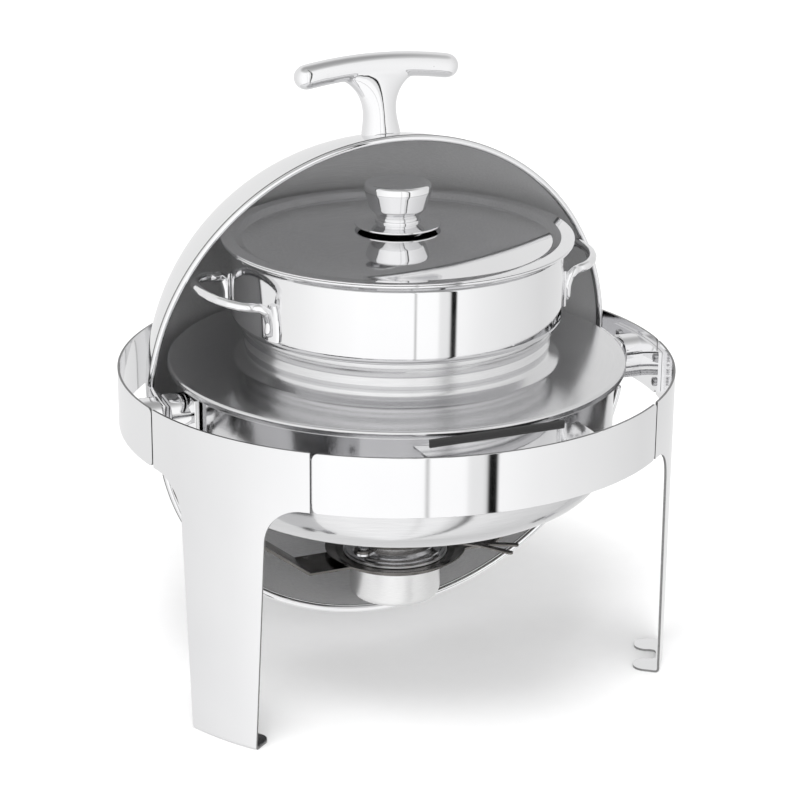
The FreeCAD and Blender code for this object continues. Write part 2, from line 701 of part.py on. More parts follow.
HANDLE_HEAD = "(lid_radius - lid_wall - handle_head_gap)"


def lid_handle():
    """The cast T-shaped handle, seated on the dome and drilled for its screws."""
    bores = handle_screw_rods("handle_screw_shank + close_fit", "lid_radius - 2 * overcut",
                              f"{HANDLE_HEAD} + handle_screw_length")
    seat = add("Sphere", Radius="lid_radius + close_fit")
    node(roll_open(cut(fuse(handle_stem(), handle_bar()), seat, *bores), "handle_lean"), "lid_handle")


def lid_handle_screws():
    """The two screws that hold the handle, with their heads inside the dome."""
    heads = handle_screw_rods("handle_screw_head", f"{HANDLE_HEAD} - handle_screw_head_height", HANDLE_HEAD)
    shanks = handle_screw_rods("handle_screw_shank", HANDLE_HEAD, f"{HANDLE_HEAD} + handle_screw_length - 1")
    node(roll_open(fuse(*heads, *shanks), "handle_lean"), "lid_handle_screws")


def lid_handle_backing():
    """The plate under the handle screws' heads."""
    top = "(lid_radius - lid_wall - backing_gap)"
    plate = block("-backing_length", "backing_length", "-backing_width", "backing_width",
                  f"{top} - backing_wall", top)
    holes = handle_screw_rods("handle_screw_shank + close_fit", f"{top} - overcut", f"{top} + overcut")
    node(roll_open(cut(plate, *holes), "handle_lean"), "lid_handle_backing_plate")


# ---------------------------------------------------------------- pan, plate and pot

def water_pan():
    """The round pan that holds the hot water."""
    inner = "(pan_radius - pan_wall)"
    corners = [("0", "pan_bottom"), ("pan_radius", "pan_bottom"), ("pan_radius", "pan_top - pan_wall"),
               ("pan_flange", "pan_top - pan_wall"), ("pan_flange", "pan_top"), (inner, "pan_top"),
               (inner, "pan_bottom + pan_wall"), ("0", "pan_bottom + pan_wall")]
    rounds = [("pan_round - pan_wall", [(inner, "pan_bottom + pan_wall")]),
              ("pan_round", [("pan_radius", "pan_bottom")])]
    node(revolved(corners, rounds), "water_pan")


def adapter_plate():
    """The flat plate over the pan, with a ribbed collar that carries the pot."""
    under_face = "plate_face - plate_sheet"
    inside = "collar_waist - plate_sheet"
    corners = [("plate_radius", "plate_edge_bottom"), ("plate_radius", "plate_face"),
               ("collar_foot", "plate_face"), ("collar_waist + 2.6", "plate_face + 2.4"),
               ("collar_waist", "plate_face + 6"), ("collar_waist", "collar_lip - 2.5"),
               ("collar_lip_radius", "collar_lip - 1"), ("collar_lip_radius", "collar_lip + 1"),
               ("collar_waist", "collar_groove - 1.5"), ("collar_waist", "collar_groove"),
               ("collar_outer", "collar_groove + 1"), ("collar_outer", "collar_top - 6"),
               ("collar_outer - collar_line", "collar_top - 5.2"), ("collar_outer", "collar_top - 4.4"),
               ("collar_outer", "collar_top"), ("collar_inner", "collar_top"),
               ("collar_inner", "collar_top - plate_sheet"), (inside, "collar_top - plate_sheet"),
               (inside, under_face), ("plate_radius - 2", under_face),
               ("plate_radius - 2", "plate_edge_bottom")]
    rounds = [("1.2", [("collar_outer", "collar_top")]),
              ("plate_edge_round", [("plate_radius", "plate_face")])]
    node(revolved(corners, rounds), "adapter_plate")


def pot_body():
    """The pot: a wide upper body that rests on the collar and a narrower lower one."""
    lower = "(pot_lower_radius - pot_wall)"
    upper = "(pot_radius - pot_wall)"
    corners = [("0", "pot_bottom"), ("pot_lower_radius", "pot_bottom"), ("pot_lower_radius", "pot_seat"),
               ("pot_radius", "pot_seat"), ("pot_radius", "pot_rim_bottom"), (upper, "pot_rim_bottom"),
               (upper, "pot_seat + pot_wall"), (lower, "pot_seat + pot_wall"),
               (lower, "pot_bottom + pot_wall"), ("0", "pot_bottom + pot_wall")]
    rounds = [("pot_shoulder_round - pot_wall", [(upper, "pot_seat + pot_wall")]),
              ("pot_shoulder_round", [("pot_radius", "pot_seat")]),
              ("pot_lower_round - pot_wall", [(lower, "pot_bottom + pot_wall")]),
              ("pot_lower_round", [("pot_lower_radius", "pot_bottom")])]
    node(revolved(corners, rounds), "pot_body")


def pot_rim():
    """The flared ring on top of the pot's wall, which the pot lid rests on."""
    foot = "(pot_rim_bottom + close_fit)"
    inner = "(pot_radius - pot_wall)"
    corners = [(inner, foot), ("pot_radius", foot), ("pot_rim_radius", "pot_rim_top - pot_wall"),
               ("pot_rim_radius", "pot_rim_top"), ("pot_rim_radius - 2", "pot_rim_top"),
               (inner, f"{foot} + 0.5")]
    node(revolved(corners), "pot_rim")


def pot_handle(label, turn):
    """A looped rod whose ends are flattened into two feet on the pot's wall."""
    wall = "(pot_radius + touch_gap)"
    feet = [arc_plate(wall, f"{wall} + handle_foot_wall", "handle_foot_bottom", "handle_foot_top",
                      "handle_foot_angle", f"{side}handle_angle") for side in ("", "-")]
    arm = "(handle_reach + 4 - handle_corner)"
    straight = "(handle_half_width - handle_corner)"
    arms = [place(add("Cylinder", Radius="handle_rod", Height=f"{arm} + 6"),
                  -6, f"{side}handle_half_width", 0, Y_AXIS, 90) for side in ("", "-")]
    bends = [place(add("Torus", Radius1="handle_corner", Radius2="handle_rod", Angle3=90),
                   arm, f"{side}{straight}", 0, Z_AXIS, angle) for side, angle in (("", 0), ("-", -90))]
    bar = place(add("Cylinder", Radius="handle_rod", Height=f"2 * {straight}"),
                f"{arm} + handle_corner", f"-{straight}", 0, X_AXIS, -90)
    loop = place(fuse(*arms, *bends, bar), "pot_radius - 4", 0, "handle_rod_height", Y_AXIS, "-handle_rise")
    place_feet = place(fuse(*feet), angle=90)
    pot_wall = cylinder(wall, "handle_foot_bottom - overcut", "handle_foot_top + 2 * overcut")
    node(place(cut(fuse(loop, place_feet), pot_wall), angle=turn), label)


def pot_lid():
    """The pot's lid: a flat rim that rests on the pot, a groove inside it and a low dome."""
    rim_top = "(cover_rim_bottom + cover_wall)"
    dome_steps = 6
    dome = [("knob_screw_shank + 0.3", "cover_crown")]
    for step in range(dome_steps + 1):
        part = f"({step} / {dome_steps})"
        dome.append((f"cover_seat + (cover_groove_radius - cover_seat) * {part}",
                     f"cover_crown - (cover_crown - cover_groove) * {part} ^ 2"))
    underside = [(across, f"{up} - cover_wall") for across, up in dome]
    rim = [("cover_rim_inner", "cover_rim_bottom"), ("cover_radius", "cover_rim_bottom"),
           ("cover_radius", rim_top), ("cover_rim_inner - 0.6", rim_top)]
    node(revolved(underside + rim + dome[::-1]), "pot_lid")


KNOB_BORE = "knob_screw_shank + close_fit"
DISC_BOTTOM = "(cover_crown + knob_base_height)"
GRIP_BOTTOM = "(cover_crown + knob_base_height + knob_disc_wall)"


def knob_base():
    """The low foot of the lid's knob."""
    corners = [(KNOB_BORE, "cover_crown"), ("knob_base_radius", "cover_crown"),
               ("knob_base_radius - 1", DISC_BOTTOM), (KNOB_BORE, DISC_BOTTOM)]
    node(revolved(corners), "knob_base")


def knob_disc():
    """The heat guard disc between the knob's foot and grip."""
    corners = [(KNOB_BORE, DISC_BOTTOM), ("knob_disc_radius - 4", DISC_BOTTOM),
               ("knob_disc_radius", f"{DISC_BOTTOM} + 0.8"), ("knob_disc_radius", f"{DISC_BOTTOM} + 1.8"),
               ("knob_neck + 3", GRIP_BOTTOM), (KNOB_BORE, GRIP_BOTTOM)]
    node(revolved(corners), "knob_heat_guard")


def knob_grip():
    """The grip of the lid's knob: a short neck that widens towards a flat top."""
    bore_top = f"{GRIP_BOTTOM} + 20"
    corners = [(KNOB_BORE, GRIP_BOTTOM), ("knob_neck", GRIP_BOTTOM),
               ("knob_neck", f"{GRIP_BOTTOM} + knob_neck_height"),
               ("knob_waist", f"{GRIP_BOTTOM} + knob_waist_height"), ("knob_grip", "knob_top - 6"),
               ("knob_grip", "knob_top"), ("0", "knob_top"), ("0", bore_top), (KNOB_BORE, bore_top)]
    node(revolved(corners, [("knob_top_round", [("knob_grip", "knob_top")])]), "knob_grip")


def knob_screw():
    """The screw that holds the knob from under the lid."""
    under_lid = "(cover_crown - cover_wall)"
    head = cylinder("knob_screw_head", f"{under_lid} - knob_screw_head_height", under_lid)
    shank = cylinder("knob_screw_shank", f"{under_lid} - 1", f"{GRIP_BOTTOM} + 18")
    node(fuse(head, shank), "knob_screw")


# ---------------------------------------------------------------- burner

def burner_strap():
    """The sheet strap under the pan that carries the burner, hung from the pan hangers."""
    low = "(strap_top - strap_wall)"
    inside = "(hanger_outer + touch_gap)"
    outside = "(hanger_outer + touch_gap + strap_wall)"
    right_half = [("strap_bend", low), (outside, "strap_side_bottom - strap_wall"),
                  (outside, "strap_side_top"),
                  (inside, "strap_side_top"), (inside, "strap_side_bottom"), ("strap_bend - 1", "strap_top")]
    left_half = [(f"-({across})", up) for across, up in reversed(right_half)]
    strap = padded("XZ_Plane", right_half + left_half, "2 * strap_width")
    ring = cylinder("strap_ring", low, "strap_top")
    hole = cylinder("cup_hole", f"{low} - overcut", "strap_top + overcut")
    screws = [x_cylinder("screw_hole", -BIG / 2, BIG / 2, across, STRAP_SCREW_HEIGHT)
              for across in STRAP_SCREW_OFFSETS]
    node(cut(fuse(strap, ring), hole, *screws), "burner_strap")


def strap_screws():
    """The screws that hold the strap to the pan hangers."""
    face = "(hanger_outer + touch_gap + strap_wall)"
    screws = [x_cylinder("screw_head", face, f"{face} + screw_head_height", across, STRAP_SCREW_HEIGHT)
              for across in STRAP_SCREW_OFFSETS]
    shanks = [x_cylinder("screw_shank", "hanger_inner", face, across, STRAP_SCREW_HEIGHT)
              for across in STRAP_SCREW_OFFSETS]
    node(group(fuse(*screws, *shanks), mirrored_pair()), "strap_screws")


def drip_saucer():
    """The shallow saucer round the burner."""
    floor = "(strap_top + touch_gap)"
    corners = [("cup_hole", floor), ("strap_ring", floor), ("saucer_radius", f"{floor} + saucer_rise"),
               ("saucer_radius", f"{floor} + saucer_rise + saucer_wall"),
               ("strap_ring - 0.4", f"{floor} + saucer_wall"), ("cup_hole", f"{floor} + saucer_wall")]
    node(revolved(corners), "drip_saucer")


CUP_FLANGE = "(strap_top + 2 * touch_gap + saucer_wall)"


def fuel_cup():
    """The cup that holds the fuel, hung by its flange."""
    inner = "(cup_radius - cup_wall)"
    corners = [("0", "cup_bottom"), ("cup_radius", "cup_bottom"), ("cup_radius", CUP_FLANGE),
               ("cup_radius + 6", CUP_FLANGE), ("cup_radius + 6", f"{CUP_FLANGE} + cup_wall"),
               (inner, f"{CUP_FLANGE} + cup_wall"), (inner, "cup_bottom + cup_wall"),
               ("0", "cup_bottom + cup_wall")]
    rounds = [("cup_round - cup_wall", [(inner, "cup_bottom + cup_wall")]),
              ("cup_round", [("cup_radius", "cup_bottom")])]
    node(revolved(corners, rounds), "fuel_cup")


def rivet_hole():
    """The hole for the snuffer's rivet."""
    return cylinder("rivet_radius + close_fit", "collar_ring_top - overcut", "collar_ring_top + overcut",
                    "rivet_x", "rivet_y")


def burner_collar():
    """The ribbed collar on the fuel cup, with an ear for the snuffer's rivet."""
    foot = f"({CUP_FLANGE} + cup_wall + close_fit)"
    corners = [("burner_mouth", foot)]
    for step in range(3):
        radius = f"collar_ring_radius - {step} * rib_step"
        corners.append((radius, f"{foot} + {step} * rib_step"))
        corners.append((radius, f"{foot} + {step + 1} * rib_step - 0.8"))
    corners += [("collar_ring_radius - 3 * rib_step", f"{foot} + 3 * rib_step - 0.8"),
                ("collar_ring_radius - 3 * rib_step", "collar_ring_top"), ("burner_mouth", "collar_ring_top")]
    del corners[6]
    ring = revolved(corners)
    ear_bottom = "collar_ring_top - ear_wall"
    ear = cylinder("ear_radius", ear_bottom, "collar_ring_top", "rivet_x", "rivet_y")
    neck = cylinder("ear_radius", ear_bottom, "collar_ring_top", "0.9 * rivet_x", "0.9 * rivet_y")
    mouth = cylinder("burner_mouth", "collar_ring_top - overcut", "collar_ring_top + overcut")
    node(cut(fuse(ring, ear, neck), mouth, rivet_hole()), "burner_collar")


COVER_LOW = "(collar_ring_top + snuffer_gap)"
COVER_HIGH = "(collar_ring_top + snuffer_gap + cover_disc_wall)"


def snuffer_cover():
    """The swivelling cover that shuts the burner, with a forked lever."""
    disc = cylinder("cover_disc", COVER_LOW, COVER_HIGH)
    ear = cylinder("ear_radius", COVER_LOW, COVER_HIGH, "rivet_x", "rivet_y")
    neck = cylinder("ear_radius", COVER_LOW, COVER_HIGH, "0.85 * rivet_x", "0.85 * rivet_y")
    bar = block("-lever_width", "lever_width", "-lever_fork", "-cover_disc + 3", COVER_LOW, COVER_HIGH)
    prongs = []
    for side in (-1, 1):
        prong = padded("XY_Plane", [(f"{side} * (lever_width - 2 * prong_radius)", "-lever_fork + 3"),
                                    (f"{side} * lever_width", "-lever_fork + 3"),
                                    (f"{side} * (prong_spread + prong_radius)", "-lever_reach"),
                                    (f"{side} * (prong_spread - prong_radius)", "-lever_reach")],
                       "cover_disc_wall", symmetric=False)
        prongs.append(place(prong, z=COVER_LOW))
        tip_x = f"{side} * prong_spread"
        prongs.append(cylinder("prong_radius", COVER_LOW, COVER_HIGH, tip_x, "-lever_reach"))
    lever = place(fuse(bar, *prongs), angle="lever_turn")
    node(cut(fuse(disc, ear, neck, lever), rivet_hole()), "snuffer_cover")


def snuffer_rivet():
    """The rivet that the snuffer cover swings on."""
    under_head = f"({COVER_HIGH} + snuffer_gap)"
    under_ear = "(collar_ring_top - ear_wall - touch_gap)"
    shank = cylinder("rivet_radius", under_ear, under_head, "rivet_x", "rivet_y")
    head = cylinder("rivet_head", under_head, f"{under_head} + rivet_head_height", "rivet_x", "rivet_y")
    tail = cylinder("rivet_tail", f"{under_ear} - rivet_head_height", under_ear, "rivet_x", "rivet_y")
    node(fuse(shank, head, tail), "snuffer_rivet")


# ---------------------------------------------------------------- build and write

def build():
    """Make every sub-part."""
    leg("front_left_leg", "-leg_spacing / 2")
    leg("front_right_leg", "leg_spacing / 2")
    leg("rear_leg", "3 * leg_spacing / 2")
    ring_strip("front_ring_strip", "0")
    ring_strip("left_ring_strip", "-leg_spacing")
    ring_strip("right_ring_strip", "leg_spacing")
    seam_plates()
    frame_screws()
    front_ledge()
    ledge_screws()
    for side in ("left", "right"):
        pivot_bracket(f"{side}_pivot_bracket", side)
        pan_hanger(f"{side}_pan_hanger", side)
        pivot_pin(f"{side}_pivot_pin", side)
        ear_plate(f"{side}_lid_ear_plate", side)
    pivot_washers()
    lid_stop_pins()
    lid_dome()
    lid_handle()
    lid_handle_screws()
    lid_handle_backing()
    water_pan()
    adapter_plate()
    pot_body()
    pot_rim()
    pot_handle("left_pot_handle", 180)
    pot_handle("right_pot_handle", 0)
    pot_lid()
    knob_base()
    knob_disc()
    knob_grip()
    knob_screw()
    burner_strap()
    strap_screws()
    drip_saucer()
    fuel_cup()
    burner_collar()
    snuffer_cover()
    snuffer_rivet()


def check_and_write():
    """Stop on any failed feature, then write each sub-part to its own file."""
    doc.recompute()
    failed = [thing.Label for thing in doc.Objects if {"Invalid", "Error"} & set(thing.State)]
    failed += [thing.Label for thing in nodes if thing.Shape.isNull() or not thing.Shape.isValid()]
    if failed:
        raise RuntimeError(f"failed: {failed}")
    os.makedirs("parts", exist_ok=True)
    for thing in nodes:
        thing.Shape.exportStep(f"parts/{thing.Label}.step")
        box = thing.Shape.BoundBox
        print(f"{thing.Label:26s} solids {len(thing.Shape.Solids):3d}  volume {thing.Shape.Volume:12.1f}"
              f"  z {box.ZMin:7.2f} {box.ZMax:7.2f}")


build()
check_and_write()
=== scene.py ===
import math

import bmesh
import bpy
from mathutils import Matrix, Quaternion, Vector


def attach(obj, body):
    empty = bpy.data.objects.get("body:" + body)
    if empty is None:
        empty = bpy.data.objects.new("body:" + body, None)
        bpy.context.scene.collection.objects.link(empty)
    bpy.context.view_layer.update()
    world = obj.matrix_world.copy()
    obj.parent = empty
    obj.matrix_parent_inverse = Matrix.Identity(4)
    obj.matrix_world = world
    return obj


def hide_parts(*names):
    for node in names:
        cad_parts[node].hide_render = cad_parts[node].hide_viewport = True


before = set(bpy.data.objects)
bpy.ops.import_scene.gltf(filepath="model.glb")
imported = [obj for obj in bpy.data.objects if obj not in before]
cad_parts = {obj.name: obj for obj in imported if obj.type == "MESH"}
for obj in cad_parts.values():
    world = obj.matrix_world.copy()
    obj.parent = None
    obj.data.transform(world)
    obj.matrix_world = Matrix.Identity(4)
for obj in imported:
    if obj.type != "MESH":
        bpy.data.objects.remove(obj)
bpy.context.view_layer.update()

MM = 0.001

# Sizes in millimetres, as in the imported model.
RING_RADIUS = 235
RING_WALL = 2
BAND_BOTTOM = 214
BAND_TOP = 263.3
PIVOT = Vector((0, 0, 242))
LID_RADIUS = 212
LID_WALL = 1.5
LID_OPEN = 82.9
HANDLE_LEAN = 73
POT_RADIUS = 139
TURNS = 256


# ---------------------------------------------------------------- materials

class Shader:
    """A procedural material: a Principled shader and short calls that add nodes to it."""

    def __init__(self, name, color, roughness, metallic=1.0):
        self.material = bpy.data.materials.new(name)
        self.material.use_nodes = True
        self.nodes = self.material.node_tree.nodes
        self.links = self.material.node_tree.links
        self.main = self.nodes["Principled BSDF"]
        self.main.inputs["Base Color"].default_value = (*color, 1)
        self.main.inputs["Roughness"].default_value = roughness
        self.main.inputs["Metallic"].default_value = metallic
        self.place = self.nodes.new("ShaderNodeTexCoord").outputs["Object"]

    def scaled(self, scale):
        """Object coordinates stretched along each axis."""
        mapping = self.nodes.new("ShaderNodeMapping")
        mapping.inputs["Scale"].default_value = scale
        self.links.new(self.place, mapping.inputs["Vector"])
        return mapping.outputs["Vector"]

    def rings(self, across, along):
        """Coordinates that run round the upright axis, for marks left by spinning."""
        parts = self.nodes.new("ShaderNodeSeparateXYZ")
        self.links.new(self.place, parts.inputs[0])
        flat = self.nodes.new("ShaderNodeCombineXYZ")
        self.links.new(parts.outputs["X"], flat.inputs["X"])
        self.links.new(parts.outputs["Y"], flat.inputs["Y"])
        radius = self.nodes.new("ShaderNodeVectorMath")
        radius.operation = "LENGTH"
        self.links.new(flat.outputs[0], radius.inputs[0])
        turn = self.math("ARCTAN2", parts.outputs["Y"], parts.outputs["X"])
        result = self.nodes.new("ShaderNodeCombineXYZ")
        self.links.new(self.math("MULTIPLY", radius.outputs["Value"], across), result.inputs["X"])
        self.links.new(self.math("MULTIPLY", turn, along), result.inputs["Y"])
        self.links.new(self.math("MULTIPLY", parts.outputs["Z"], across), result.inputs["Z"])
        return result.outputs[0]

    def math(self, operation, first, second):
        """One maths node; each operand is a socket or a number."""
        step = self.nodes.new("ShaderNodeMath")
        step.operation = operation
        for socket, value in zip(step.inputs, (first, second)):
            if isinstance(value, (int, float)):
                socket.default_value = value
            else:
                self.links.new(value, socket)
        return step.outputs[0]

    def noise(self, vector, scale, detail=4):
        """Noise between 0 and 1."""
        texture = self.nodes.new("ShaderNodeTexNoise")
        texture.inputs["Scale"].default_value = scale
        texture.inputs["Detail"].default_value = detail
        self.links.new(vector, texture.inputs["Vector"])
        return texture.outputs[0]

    def between(self, value, low, high, start=0.3, end=0.7):
        """A value's middle stretch spread over low to high."""
        spread = self.nodes.new("ShaderNodeMapRange")
        spread.inputs["From Min"].default_value = start
        spread.inputs["From Max"].default_value = end
        spread.inputs["To Min"].default_value = low
        spread.inputs["To Max"].default_value = high
        self.links.new(value, spread.inputs["Value"])
        return spread.outputs[0]

    def vary_roughness(self, value, low, high):
        self.links.new(self.between(value, low, high), self.main.inputs["Roughness"])

    def vary_color(self, value, dark, light):
        blend = self.nodes.new("ShaderNodeMix")
        blend.data_type = "RGBA"
        blend.inputs["A"].default_value = (*dark, 1)
        blend.inputs["B"].default_value = (*light, 1)
        self.links.new(self.between(value, 0, 1), blend.inputs["Factor"])
        self.links.new(blend.outputs["Result"], self.main.inputs["Base Color"])

    def bump(self, height, strength, distance):
        raised = self.nodes.new("ShaderNodeBump")
        raised.inputs["Strength"].default_value = strength
        raised.inputs["Distance"].default_value = distance
        self.links.new(height, raised.inputs["Height"])
        self.links.new(raised.outputs["Normal"], self.main.inputs["Normal"])

    def stretch(self, amount):
        """Highlights stretched across spinning marks."""
        tangent = self.nodes.new("ShaderNodeTangent")
        tangent.direction_type = "RADIAL"
        tangent.axis = "Z"
        self.main.inputs["Anisotropic"].default_value = amount
        self.links.new(tangent.outputs[0], self.main.inputs["Tangent"])


def mirror_steel():
    """Polished stainless steel with faint cloudiness and polishing haze."""
    shader = Shader("mirror_steel", (0.83, 0.83, 0.84), 0.04)
    shader.vary_roughness(shader.noise(shader.place, 14), 0.03, 0.075)
    shader.vary_color(shader.noise(shader.place, 5), (0.80, 0.80, 0.81), (0.86, 0.86, 0.865))
    shader.bump(shader.noise(shader.place, 9, detail=1), 0.03, 0.002)
    return shader.material


def spun_steel():
    """Satin steel with fine concentric spinning marks."""
    shader = Shader("spun_steel", (0.72, 0.72, 0.73), 0.2)
    grain = shader.noise(shader.rings(5200, 6), 1, detail=3)
    cloud = shader.noise(shader.place, 22, detail=2)
    shader.vary_roughness(cloud, 0.17, 0.24)
    shader.vary_color(grain, (0.68, 0.68, 0.69), (0.76, 0.76, 0.765))
    shader.bump(grain, 0.05, 0.0001)
    shader.stretch(0.5)
    return shader.material


def pan_steel():
    """The pan's softly polished steel."""
    shader = Shader("pan_steel", (0.70, 0.70, 0.71), 0.13)
    grain = shader.noise(shader.rings(3000, 8), 1, detail=3)
    shader.vary_roughness(shader.noise(shader.place, 18, detail=2), 0.1, 0.18)
    shader.vary_color(grain, (0.66, 0.66, 0.67), (0.74, 0.74, 0.745))
    shader.bump(grain, 0.03, 0.0001)
    return shader.material


def lid_inside():
    """The grey, satin inside of the dome."""
    shader = Shader("lid_inside_steel", (0.77, 0.77, 0.77), 0.6, metallic=0.3)
    grain = shader.noise(shader.scaled((30, 900, 900)), 1, detail=4)
    shader.vary_roughness(grain, 0.52, 0.66)
    shader.vary_color(grain, (0.71, 0.71, 0.715), (0.82, 0.82, 0.825))
    shader.bump(grain, 0.06, 0.0002)
    return shader.material


def ledge_gap_shadow_material():
    """Black of the strip on the front ledge: painted shadow of the gap along the ledge's inner edge."""
    shader = Shader("ledge_gap_shadow_black", (0.02, 0.02, 0.02), 0.55, metallic=0)
    speckle = shader.noise(shader.place, 1500)
    shader.vary_roughness(speckle, 0.45, 0.7)
    shader.bump(speckle, 0.1, 0.0002)
    return shader.material


def raw_edge_and_crease_shade_material():
    """The unpolished cut edge of the sheet metal; the same dark steel also paints the shade in the creases
    beside the lid's rolled rims.
    """
    shader = Shader("steel_of_edges_and_crease_shade", (0.22, 0.22, 0.22), 0.35)
    marks = shader.noise(shader.place, 700)
    shader.vary_roughness(marks, 0.3, 0.45)
    shader.vary_color(marks, (0.17, 0.17, 0.17), (0.28, 0.28, 0.28))
    return shader.material


def brushed_steel():
    """Satin steel with a fine straight grain, for brackets and straps."""
    shader = Shader("brushed_steel", (0.55, 0.55, 0.56), 0.16)
    grain = shader.noise(shader.scaled((120, 120, 3200)), 1, detail=3)
    shader.vary_roughness(grain, 0.12, 0.2)
    shader.vary_color(grain, (0.52, 0.52, 0.53), (0.6, 0.6, 0.61))
    shader.bump(grain, 0.03, 0.0001)
    return shader.material


def dark_steel():
    """Dark, polished steel of the burner's saucer and lever, its tone varying in soft clouds."""
    shader = Shader("dark_polished_steel", (0.16, 0.15, 0.15), 0.2)
    cloud = shader.noise(shader.place, 40)
    shader.vary_roughness(cloud, 0.14, 0.3)
    shader.vary_color(cloud, (0.10, 0.095, 0.09), (0.22, 0.21, 0.20))
    shader.bump(cloud, 0.05, 0.0005)
    return shader.material


def cup_steel():
    """The fuel cup's dull, spun steel."""
    shader = Shader("cup_steel", (0.78, 0.78, 0.78), 0.34)
    grain = shader.noise(shader.rings(4200, 6), 1, detail=3)
    shader.vary_roughness(grain, 0.28, 0.4)
    shader.vary_color(grain, (0.72, 0.72, 0.72), (0.82, 0.82, 0.82))
    shader.bump(grain, 0.06, 0.0001)
    return shader.material


def fastener_steel():
    """Turned steel of screws, pins and rivets."""
    shader = Shader("fastener_steel", (0.45, 0.45, 0.46), 0.25)
    marks = shader.noise(shader.place, 900)
    shader.vary_roughness(marks, 0.18, 0.34)
    shader.vary_color(marks, (0.38, 0.38, 0.39), (0.55, 0.55, 0.56))
    shader.bump(marks, 0.08, 0.0002)
    return shader.material


def studio_floor():
    """The matte white floor."""
    shader = Shader("studio_floor", (0.93, 0.93, 0.93), 0.9, metallic=0)
    paper = shader.noise(shader.place, 60)
    shader.vary_color(paper, (0.925, 0.925, 0.925), (0.935, 0.935, 0.935))
    return shader.material


MIRROR = mirror_steel()
SPUN = spun_steel()
LID_INSIDE = lid_inside()
BRUSHED = brushed_steel()
DARK = dark_steel()
FASTENER = fastener_steel()
PAN = pan_steel()
RAW_EDGE_AND_CREASE_SHADE = raw_edge_and_crease_shade_material()
CUP = cup_steel()
LEDGE_GAP_SHADOW = ledge_gap_shadow_material()


# ---------------------------------------------------------------- shape helpers

def metres(point):
    return Vector(point) * MM


def to_object(name, mesh_data, materials):
    """A new object with its materials in order."""
    thing = bpy.data.objects.new(name, mesh_data)
    bpy.context.scene.collection.objects.link(thing)
    for material in materials:
        mesh_data.materials.append(material)
    return thing


def close(shape, name, materials, sharp=35):
    """Finish a bmesh as an object: merged points, outward faces, crisp folds."""
    bmesh.ops.remove_doubles(shape, verts=shape.verts, dist=1e-6)
    bmesh.ops.recalc_face_normals(shape, faces=shape.faces)
    mesh_data = bpy.data.meshes.new(name)
    shape.to_mesh(mesh_data)
    shape.free()
    mesh_data.shade_smooth()
    mesh_data.set_sharp_from_angle(angle=math.radians(sharp))
    return to_object(name, mesh_data, materials)


def piece(thing, body, slot, *nodes):
    """Say which body a piece rides on and which CAD nodes it stands for."""
    if nodes:
        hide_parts(*nodes)
    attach(thing, body)
    return thing


def rounded(corners, steps=5):
    """Points of a closed outline; a corner with a third number is rounded to that radius."""
    points = []
    for index, corner in enumerate(corners):
        here = Vector(corner[:2])
        radius = corner[2] if len(corner) > 2 else 0
        if not radius:
            points.append(here)
            continue
        back = (Vector(corners[index - 1][:2]) - here).normalized()
        ahead = (Vector(corners[(index + 1) % len(corners)][:2]) - here).normalized()
        half = back.angle(ahead) / 2
        reach = radius / math.tan(half)
        centre = here + (back + ahead).normalized() * radius / math.sin(half)
        start = here + back * reach - centre
        sweep = start.angle_signed(here + ahead * reach - centre)
        for step in range(steps + 1):
            turned = start.copy()
            turned.rotate(Matrix.Rotation(-sweep * step / steps, 2))
            points.append(centre + turned)
    return points


def strip_faces(shape, first, second, closed=False):
    """Faces between two rows of points."""
    last = len(first) if closed else len(first) - 1
    for index in range(last):
        following = (index + 1) % len(first)
        corners = [first[index], first[following], second[following], second[index]]
        shape.faces.new(corners)


def lathe(name, corners, materials, steps=5, turns=TURNS, sharp=35):
    """A solid of revolution about the upright axis from (radius, height) corners."""
    outline = rounded(corners, steps)
    shape = bmesh.new()
    columns = []
    for turn in range(turns):
        angle = math.tau * turn / turns
        column = [shape.verts.new(metres((point.x * math.cos(angle), point.x * math.sin(angle), point.y)))
                  for point in outline]
        columns.append(column)
    for turn in range(turns):
        strip_faces(shape, columns[turn], columns[(turn + 1) % turns], closed=True)
    bmesh.ops.dissolve_degenerate(shape, dist=1e-7, edges=shape.edges)
    return close(shape, name, materials, sharp)


def bezier(points, tension=0.35, steps=12):
    """A smooth open line through points."""
    line = []
    for index in range(len(points) - 1):
        here, ahead = points[index], points[index + 1]
        before = points[index - 1] if index else here
        after = points[index + 2] if index + 2 < len(points) else ahead
        leave = here + (ahead - before) * tension / 2
        arrive = ahead - (after - here) * tension / 2
        for step in range(steps):
            gone = step / steps
            left = 1 - gone
            line.append(here * left ** 3 + leave * 3 * gone * left ** 2
                        + arrive * 3 * gone * gone * left + ahead * gone ** 3)
    line.append(points[-1])
    return line


def tube(shape, line, radii, sides=24):
    """A round bar along a line, with a radius at each point and domed ends."""
    cap_steps = 5
    rings = []
    reference = None
    for index, point in enumerate(line):
        before = line[max(index - 1, 0)]
        after = line[min(index + 1, len(line) - 1)]
        forward = (after - before).normalized()
        if reference is None:
            reference = forward.orthogonal().normalized()
        reference = (reference - forward * reference.dot(forward)).normalized()
        rings.append((point, forward, reference.copy(), radii[index]))
    first, last = rings[0], rings[-1]
    start_cap, end_cap = [], []
    for step in range(cap_steps):
        angle = math.pi / 2 * step / cap_steps
        start_cap.append((first[0] - first[1] * first[3] * math.cos(angle), first[1], first[2],
                          max(first[3] * math.sin(angle), first[3] * 0.02)))
        end_cap.append((last[0] + last[1] * last[3] * math.cos(angle), last[1], last[2],
                        max(last[3] * math.sin(angle), last[3] * 0.02)))
    rings = start_cap + rings + end_cap[::-1]
    rows = []
    for point, forward, side, radius in rings:
        other = forward.cross(side)
        row = []
        for corner in range(sides):
            angle = math.tau * corner / sides
            offset = side * math.cos(angle) * radius + other * math.sin(angle) * radius
            row.append(shape.verts.new(metres(point + offset)))
        rows.append(row)
    for lower, upper in zip(rows, rows[1:]):
        strip_faces(shape, lower, upper, closed=True)
    shape.faces.new(rows[0])
    shape.faces.new(rows[-1])


